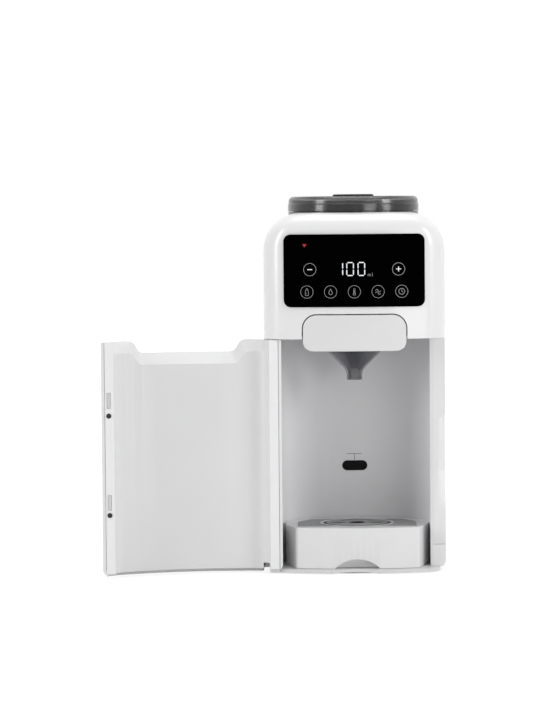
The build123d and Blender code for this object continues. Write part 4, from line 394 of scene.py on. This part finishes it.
for node, key in DRESS.items():
    target = frame["nodes"][node]
    if node in SOFT_EDGES:
        target = softened(node, SOFT_EDGES[node])
    else:
        smooth_by_angle(target.data)
    dress(target, M[key])
    # the drip tray's floor and inward faces get painted shade
    if node == "drip_tray":
        paint_shade_inside(target, TRAY_MIDDLE, TRAY_ROOM)
    if node == "valve_spring":  # the spring's piece gets a mesh of its own
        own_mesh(target)


# ------------------------------------------------------------------ marks on the control panel
MARK_LIFT = 0.06 * MM  # how far the marks stand off the glass


def on_panel(x, z):
    """A point on the panel's curved face, in metres, from millimetres."""
    reach = FRONT_RADIUS + PANEL_PROUD + MARK_LIFT
    return Vector((x * MM, ARC_Y - math.sqrt(reach**2 - (x * MM) ** 2), z * MM))


def mesh_piece(name, verts, faces, body, material):
    """A piece of its own, from points in metres and the faces between them."""
    mesh = bpy.data.meshes.new(name)
    mesh.from_pydata(verts, [], faces)
    mesh.update()
    piece = bpy.data.objects.new(name, mesh)
    bpy.context.scene.collection.objects.link(piece)
    dress(piece, M[material])
    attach(piece, body)


class Marks:
    """Flat shapes gathered in panel millimetres, then laid on the glass as one thin mesh."""

    def __init__(self):
        self.verts, self.faces = [], []

    def polygon(self, points):
        """One face through points that are given in order."""
        first = len(self.verts)
        self.verts += [on_panel(x, z) for x, z in points]
        self.faces.append(tuple(range(first, first + len(points))))

    def bar(self, x0, z0, x1, z1, width):
        """A straight stroke between two points."""
        start, end = Vector((x0, z0)), Vector((x1, z1))
        run = end - start
        side = Vector((-run.y, run.x)).normalized() * width / 2
        self.polygon([tuple(p) for p in (start + side, end + side, end - side, start - side)])

    def ring(self, x, z, radius, width, start=0, end=360, steps=40):
        """A stroke along an arc round x, z, between two angles in degrees."""
        inner, outer = radius - width / 2, radius + width / 2
        for step in range(steps):
            a = math.radians(start + (end - start) * step / steps)
            b = math.radians(start + (end - start) * (step + 1) / steps)
            corners = ((inner, a), (inner, b), (outer, b), (outer, a))
            self.polygon([(x + r * math.cos(t), z + r * math.sin(t)) for r, t in corners])

    def build(self, name, material):
        """Lay the shapes on the glass."""
        mesh_piece(name, self.verts, self.faces, "casing", material)


DIGIT_HEIGHT = 13.5
DIGIT_WIDTH = 6.9
DIGIT_STROKE = 1.05
DIGIT_FOOT = 314.8
DIGIT_GAP = 0.5  # from a corner of the digit to the end of a segment
SEGMENTS = {"1": "bc", "0": "abcdef"}
DISPLAYED = (("1", -12.0 - DIGIT_WIDTH), ("0", -7.7), ("0", 4.05))  # and each one's left side
UNIT_STROKE = 0.4
UNIT_M_X, UNIT_M_FOOT, UNIT_M_WIDTH = 14.3, 313.9, 2.6
UNIT_L_X, UNIT_L_FOOT, UNIT_L_TOP = 18.9, 313.8, 317.4


def seven_segment(marks, digit, x, z):
    """One digit with its lower left corner at x, z."""
    w, h, half = DIGIT_WIDTH, DIGIT_HEIGHT, DIGIT_HEIGHT / 2
    runs = {
        "a": ((0, h), (w, h)), "b": ((w, half), (w, h)), "c": ((w, 0), (w, half)),
        "d": ((0, 0), (w, 0)), "e": ((0, 0), (0, half)), "f": ((0, half), (0, h)),
    }
    for key in SEGMENTS[digit]:
        (x0, z0), (x1, z1) = runs[key]
        along = Vector((x1 - x0, z1 - z0)).normalized()
        slant = along * DIGIT_STROKE / 2
        side = Vector((-along.y, along.x)) * DIGIT_STROKE / 2
        a = Vector((x + x0, z + z0)) + along * DIGIT_GAP
        b = Vector((x + x1, z + z1)) - along * DIGIT_GAP
        ends = [a, a + slant + side, b - slant + side, b, b - slant - side, a + slant - side]
        marks.polygon([tuple(p) for p in ends])


def letter_m(marks, x, z, width, stroke):
    """A square m with its lower left corner at x, z."""
    top = z + width * 0.8
    for shift in (0, width * 0.5, width):
        marks.bar(x + shift, z, x + shift, top, stroke)
    marks.bar(x, top, x + width, top, stroke)


digits = Marks()
for digit, start in DISPLAYED:
    seven_segment(digits, digit, start, DIGIT_FOOT)
unit = Marks()
letter_m(unit, UNIT_M_X, UNIT_M_FOOT, UNIT_M_WIDTH, UNIT_STROKE)
unit.bar(UNIT_L_X, UNIT_L_FOOT, UNIT_L_X, UNIT_L_TOP, UNIT_STROKE)
digits.build("digits", "lit")
unit.build("unit_mark", "icon")

KEY_X, LOW_Z = 24.8, 297.8  # spacing and height of the lower keys
TOP_X, TOP_Z = 46.4, 321.2  # where the plus key is; the minus key is its mirror image
KEY_RADIUS = 6.5
LOW_STROKE, TOP_STROKE = 0.3, 0.34
rings = Marks()
for step in range(-2, 3):
    rings.ring(step * KEY_X, LOW_Z, KEY_RADIUS, LOW_STROKE)
for side in (-1, 1):
    rings.ring(side * TOP_X, TOP_Z, KEY_RADIUS, TOP_STROKE)
rings.build("key_rings", "ring")

SIGN_ARM, SIGN_STROKE = 2.6, 0.8
signs = Marks()
signs.bar(-TOP_X - SIGN_ARM, TOP_Z, -TOP_X + SIGN_ARM, TOP_Z, SIGN_STROKE)
signs.bar(TOP_X - SIGN_ARM, TOP_Z, TOP_X + SIGN_ARM, TOP_Z, SIGN_STROKE)
signs.bar(TOP_X, TOP_Z - SIGN_ARM, TOP_X, TOP_Z + SIGN_ARM, SIGN_STROKE)
signs.build("plus_minus", "lit")

# each icon is drawn round its own middle, in millimetres, with one of these strokes
HAIR, FINE, PLAIN, BOLD = 0.35, 0.4, 0.45, 0.5


def bottle_icon(marks, x, z):
    for side in (-1, 1):
        marks.bar(x + side * 1.6, z - 3.6, x + side * 1.6, z + 1.0, PLAIN)
        marks.bar(x + side * 1.6, z + 1.0, x + side * 0.8, z + 2.2, PLAIN)
        marks.bar(x + side * 0.5, z + 3.0, x + side * 0.5, z + 3.9, PLAIN)
    marks.bar(x - 1.8, z - 3.6, x + 1.8, z - 3.6, PLAIN)
    marks.bar(x - 1.3, z + 2.4, x + 1.3, z + 2.4, BOLD)
    marks.bar(x - 1.4, z - 1.2, x - 0.2, z - 1.2, HAIR)


def drop_icon(marks, x, z):
    marks.ring(x, z - 1.0, 1.9, BOLD, start=150, end=390, steps=24)
    marks.bar(x - 1.65, z - 0.05, x, z + 3.2, BOLD)
    marks.bar(x + 1.65, z - 0.05, x, z + 3.2, BOLD)


def thermometer_icon(marks, x, z):
    marks.ring(x, z - 2.3, 1.2, BOLD)
    marks.bar(x - 0.75, z - 1.2, x - 0.75, z + 3.0, FINE)
    marks.bar(x + 0.75, z - 1.2, x + 0.75, z + 3.0, FINE)
    marks.bar(x - 0.8, z + 3.2, x + 0.8, z + 3.2, FINE)
    marks.bar(x, z - 1.6, x, z + 1.4, PLAIN)


def waves_icon(marks, x, z):
    for level in (z - 1.6, z + 1.0):
        marks.ring(x - 1.3, level, 1.3, PLAIN, start=0, end=180, steps=12)
        marks.ring(x + 1.3, level, 1.3, PLAIN, start=180, end=360, steps=12)


def clock_icon(marks, x, z):
    marks.ring(x, z, 3.1, BOLD)
    marks.bar(x, z, x, z + 2.2, PLAIN)
    marks.bar(x, z, x + 1.5, z - 0.8, PLAIN)


icons = Marks()
for step, draw in zip(
    range(-2, 3), (bottle_icon, drop_icon, thermometer_icon, waves_icon, clock_icon)
):
    draw(icons, step * KEY_X, LOW_Z)
icons.build("key_icons", "icon")

LAMP_CORNERS = ((-54.1, 347.8), (-49.7, 347.8), (-51.9, 344.5))
lamp = Marks()
lamp.polygon(LAMP_CORNERS)
lamp.build("status_lamp", "red")


# ------------------------------------------------------------------ marks on the bay's back wall
PRINT_LIFT = 0.05 * MM  # how far the print stands off the wall


def on_back_wall(name, x, z):
    """A flat rectangle on the bay's back wall, between low and high ends in millimetres."""
    y = BAY_BACK - PRINT_LIFT
    corners = [(x[0], z[0]), (x[1], z[0]), (x[1], z[1]), (x[0], z[1])]
    verts = [Vector((a * MM, y, b * MM)) for a, b in corners]
    mesh_piece(name, verts, [(0, 1, 2, 3)], "casing", "mark")


on_back_wall("sensor_line", x=(-8.8, 7.8), z=(117.0, 117.5))
on_back_wall("sensor_pointer", x=(-0.55, -0.05), z=(110.6, 117.0))

# ------------------------------------------------------------------ camera
CAMERA_LENS = 147.3
CAMERA_PLACE = (-0.022, -3.258, 0.3895)
CAMERA_YAW, CAMERA_PITCH, CAMERA_ROLL = 1.298, 3.058, -0.5  # degrees; the pitch looks down
camera_data = bpy.data.cameras.new("camera")
camera_data.lens = CAMERA_LENS
camera_data.clip_end = 50
camera = bpy.data.objects.new("camera", camera_data)
camera.location = CAMERA_PLACE
turn = (
    Matrix.Rotation(math.radians(CAMERA_YAW), 4, "Z")
    @ Matrix.Rotation(math.radians(90 - CAMERA_PITCH), 4, "X")
    @ Matrix.Rotation(math.radians(CAMERA_ROLL), 4, "Z")
)
camera.rotation_euler = turn.to_euler()
bpy.context.scene.collection.objects.link(camera)
bpy.context.scene.camera = camera

# ------------------------------------------------------------------ stage and light
WORLD_LEVEL = 0.34  # the world's light on things; seen directly it is white
FLOOR_REACH = 6.0
FLOOR_DROP = 0.2 * MM  # keeps the floor clear of the feet's underside
FLOOR_COLOR = (0.8, 0.8, 0.8, 1)
SHADOW_COLOR = (0.3, 0.3, 0.3, 1)  # the share of the seen floor that a shadow can darken
FADE_REACH = (0.25, 1.0)  # from the middle of the floor
FADE_LEVEL = (0.8, 0.99)  # the seen floor's own light over that reach


def path_mask(nodes, links):
    """1 for camera, glossy and transmission rays, 0 for the light that falls on things."""
    path = nodes.new("ShaderNodeLightPath")
    mask = path.outputs["Is Camera Ray"]
    for kind in ("Is Glossy Ray", "Is Transmission Ray"):
        either = nodes.new("ShaderNodeMath")
        either.operation = "MAXIMUM"
        links.new(mask, either.inputs[0])
        links.new(path.outputs[kind], either.inputs[1])
        mask = either.outputs[0]
    return mask


def floor_material():
    """Pale floor: white to the camera, with the soft shadow that falls on it."""
    material = bpy.data.materials.new("studio_floor")
    material.use_nodes = True
    nodes, links = material.node_tree.nodes, material.node_tree.links
    nodes.clear()
    out = nodes.new("ShaderNodeOutputMaterial")
    plain = add(nodes, "BsdfDiffuse", Color=FLOOR_COLOR)
    seen = add(nodes, "BsdfDiffuse", Color=SHADOW_COLOR)
    lift = nodes.new("ShaderNodeEmission")
    place = nodes.new("ShaderNodeTexCoord").outputs["Object"]
    reach = vector_math(nodes, links, "LENGTH", place)["Value"]
    rise = add(
        nodes, "MapRange",
        From_Min=FADE_REACH[0], From_Max=FADE_REACH[1], To_Min=FADE_LEVEL[0], To_Max=FADE_LEVEL[1],
    )
    links.new(reach, rise.inputs["Value"])
    links.new(rise.outputs["Result"], lift.inputs["Strength"])
    both = nodes.new("ShaderNodeAddShader")
    links.new(seen.outputs[0], both.inputs[0])
    links.new(lift.outputs[0], both.inputs[1])
    mix = nodes.new("ShaderNodeMixShader")
    links.new(path_mask(nodes, links), mix.inputs["Fac"])
    links.new(plain.outputs[0], mix.inputs[1])
    links.new(both.outputs[0], mix.inputs[2])
    links.new(mix.outputs[0], out.inputs["Surface"])
    return material


far = FLOOR_REACH
floor_mesh = bpy.data.meshes.new("floor")
floor_mesh.from_pydata(
    [(-far, -far, 0), (far, -far, 0), (far, far, 0), (-far, far, 0)], [], [(0, 1, 2, 3)]
)
floor = bpy.data.objects.new("floor", floor_mesh)
floor.location.z = -FLOOR_DROP
bpy.context.scene.collection.objects.link(floor)
floor.data.materials.append(floor_material())

world = bpy.data.worlds.new("studio")
world.use_nodes = True
bpy.context.scene.world = world
nodes, links = world.node_tree.nodes, world.node_tree.links
background = nodes["Background"]
background.inputs["Color"].default_value = (1, 1, 1, 1)
level = value_drift(nodes, links, path_mask(nodes, links), WORLD_LEVEL, 1.0)
links.new(level, background.inputs["Strength"])

AIM = (0, -0.05, 0.2)  # what every lamp looks at


def softbox(name, place, size, power):
    """A rectangular lamp that looks at the object; its power is in watts."""
    data = bpy.data.lights.new(name, "AREA")
    data.shape = "RECTANGLE"
    data.size, data.size_y = size
    data.energy = power
    light = bpy.data.objects.new(name, data)
    light.location = place
    light.rotation_euler = (Vector(AIM) - Vector(place)).to_track_quat("-Z", "Y").to_euler()
    bpy.context.scene.collection.objects.link(light)


softbox("key", (2.25, -1.35, 0.95), (0.65, 1.2), 22)
softbox("fill", (-2.3, -1.3, 0.9), (0.65, 1.3), 22)
softbox("front", (1.35, -2.5, 0.4), (0.9, 0.6), 7.5)
softbox("top", (0, 0.1, 2.2), (1.8, 1.6), 22)

bpy.context.scene.view_settings.view_transform = "Standard"
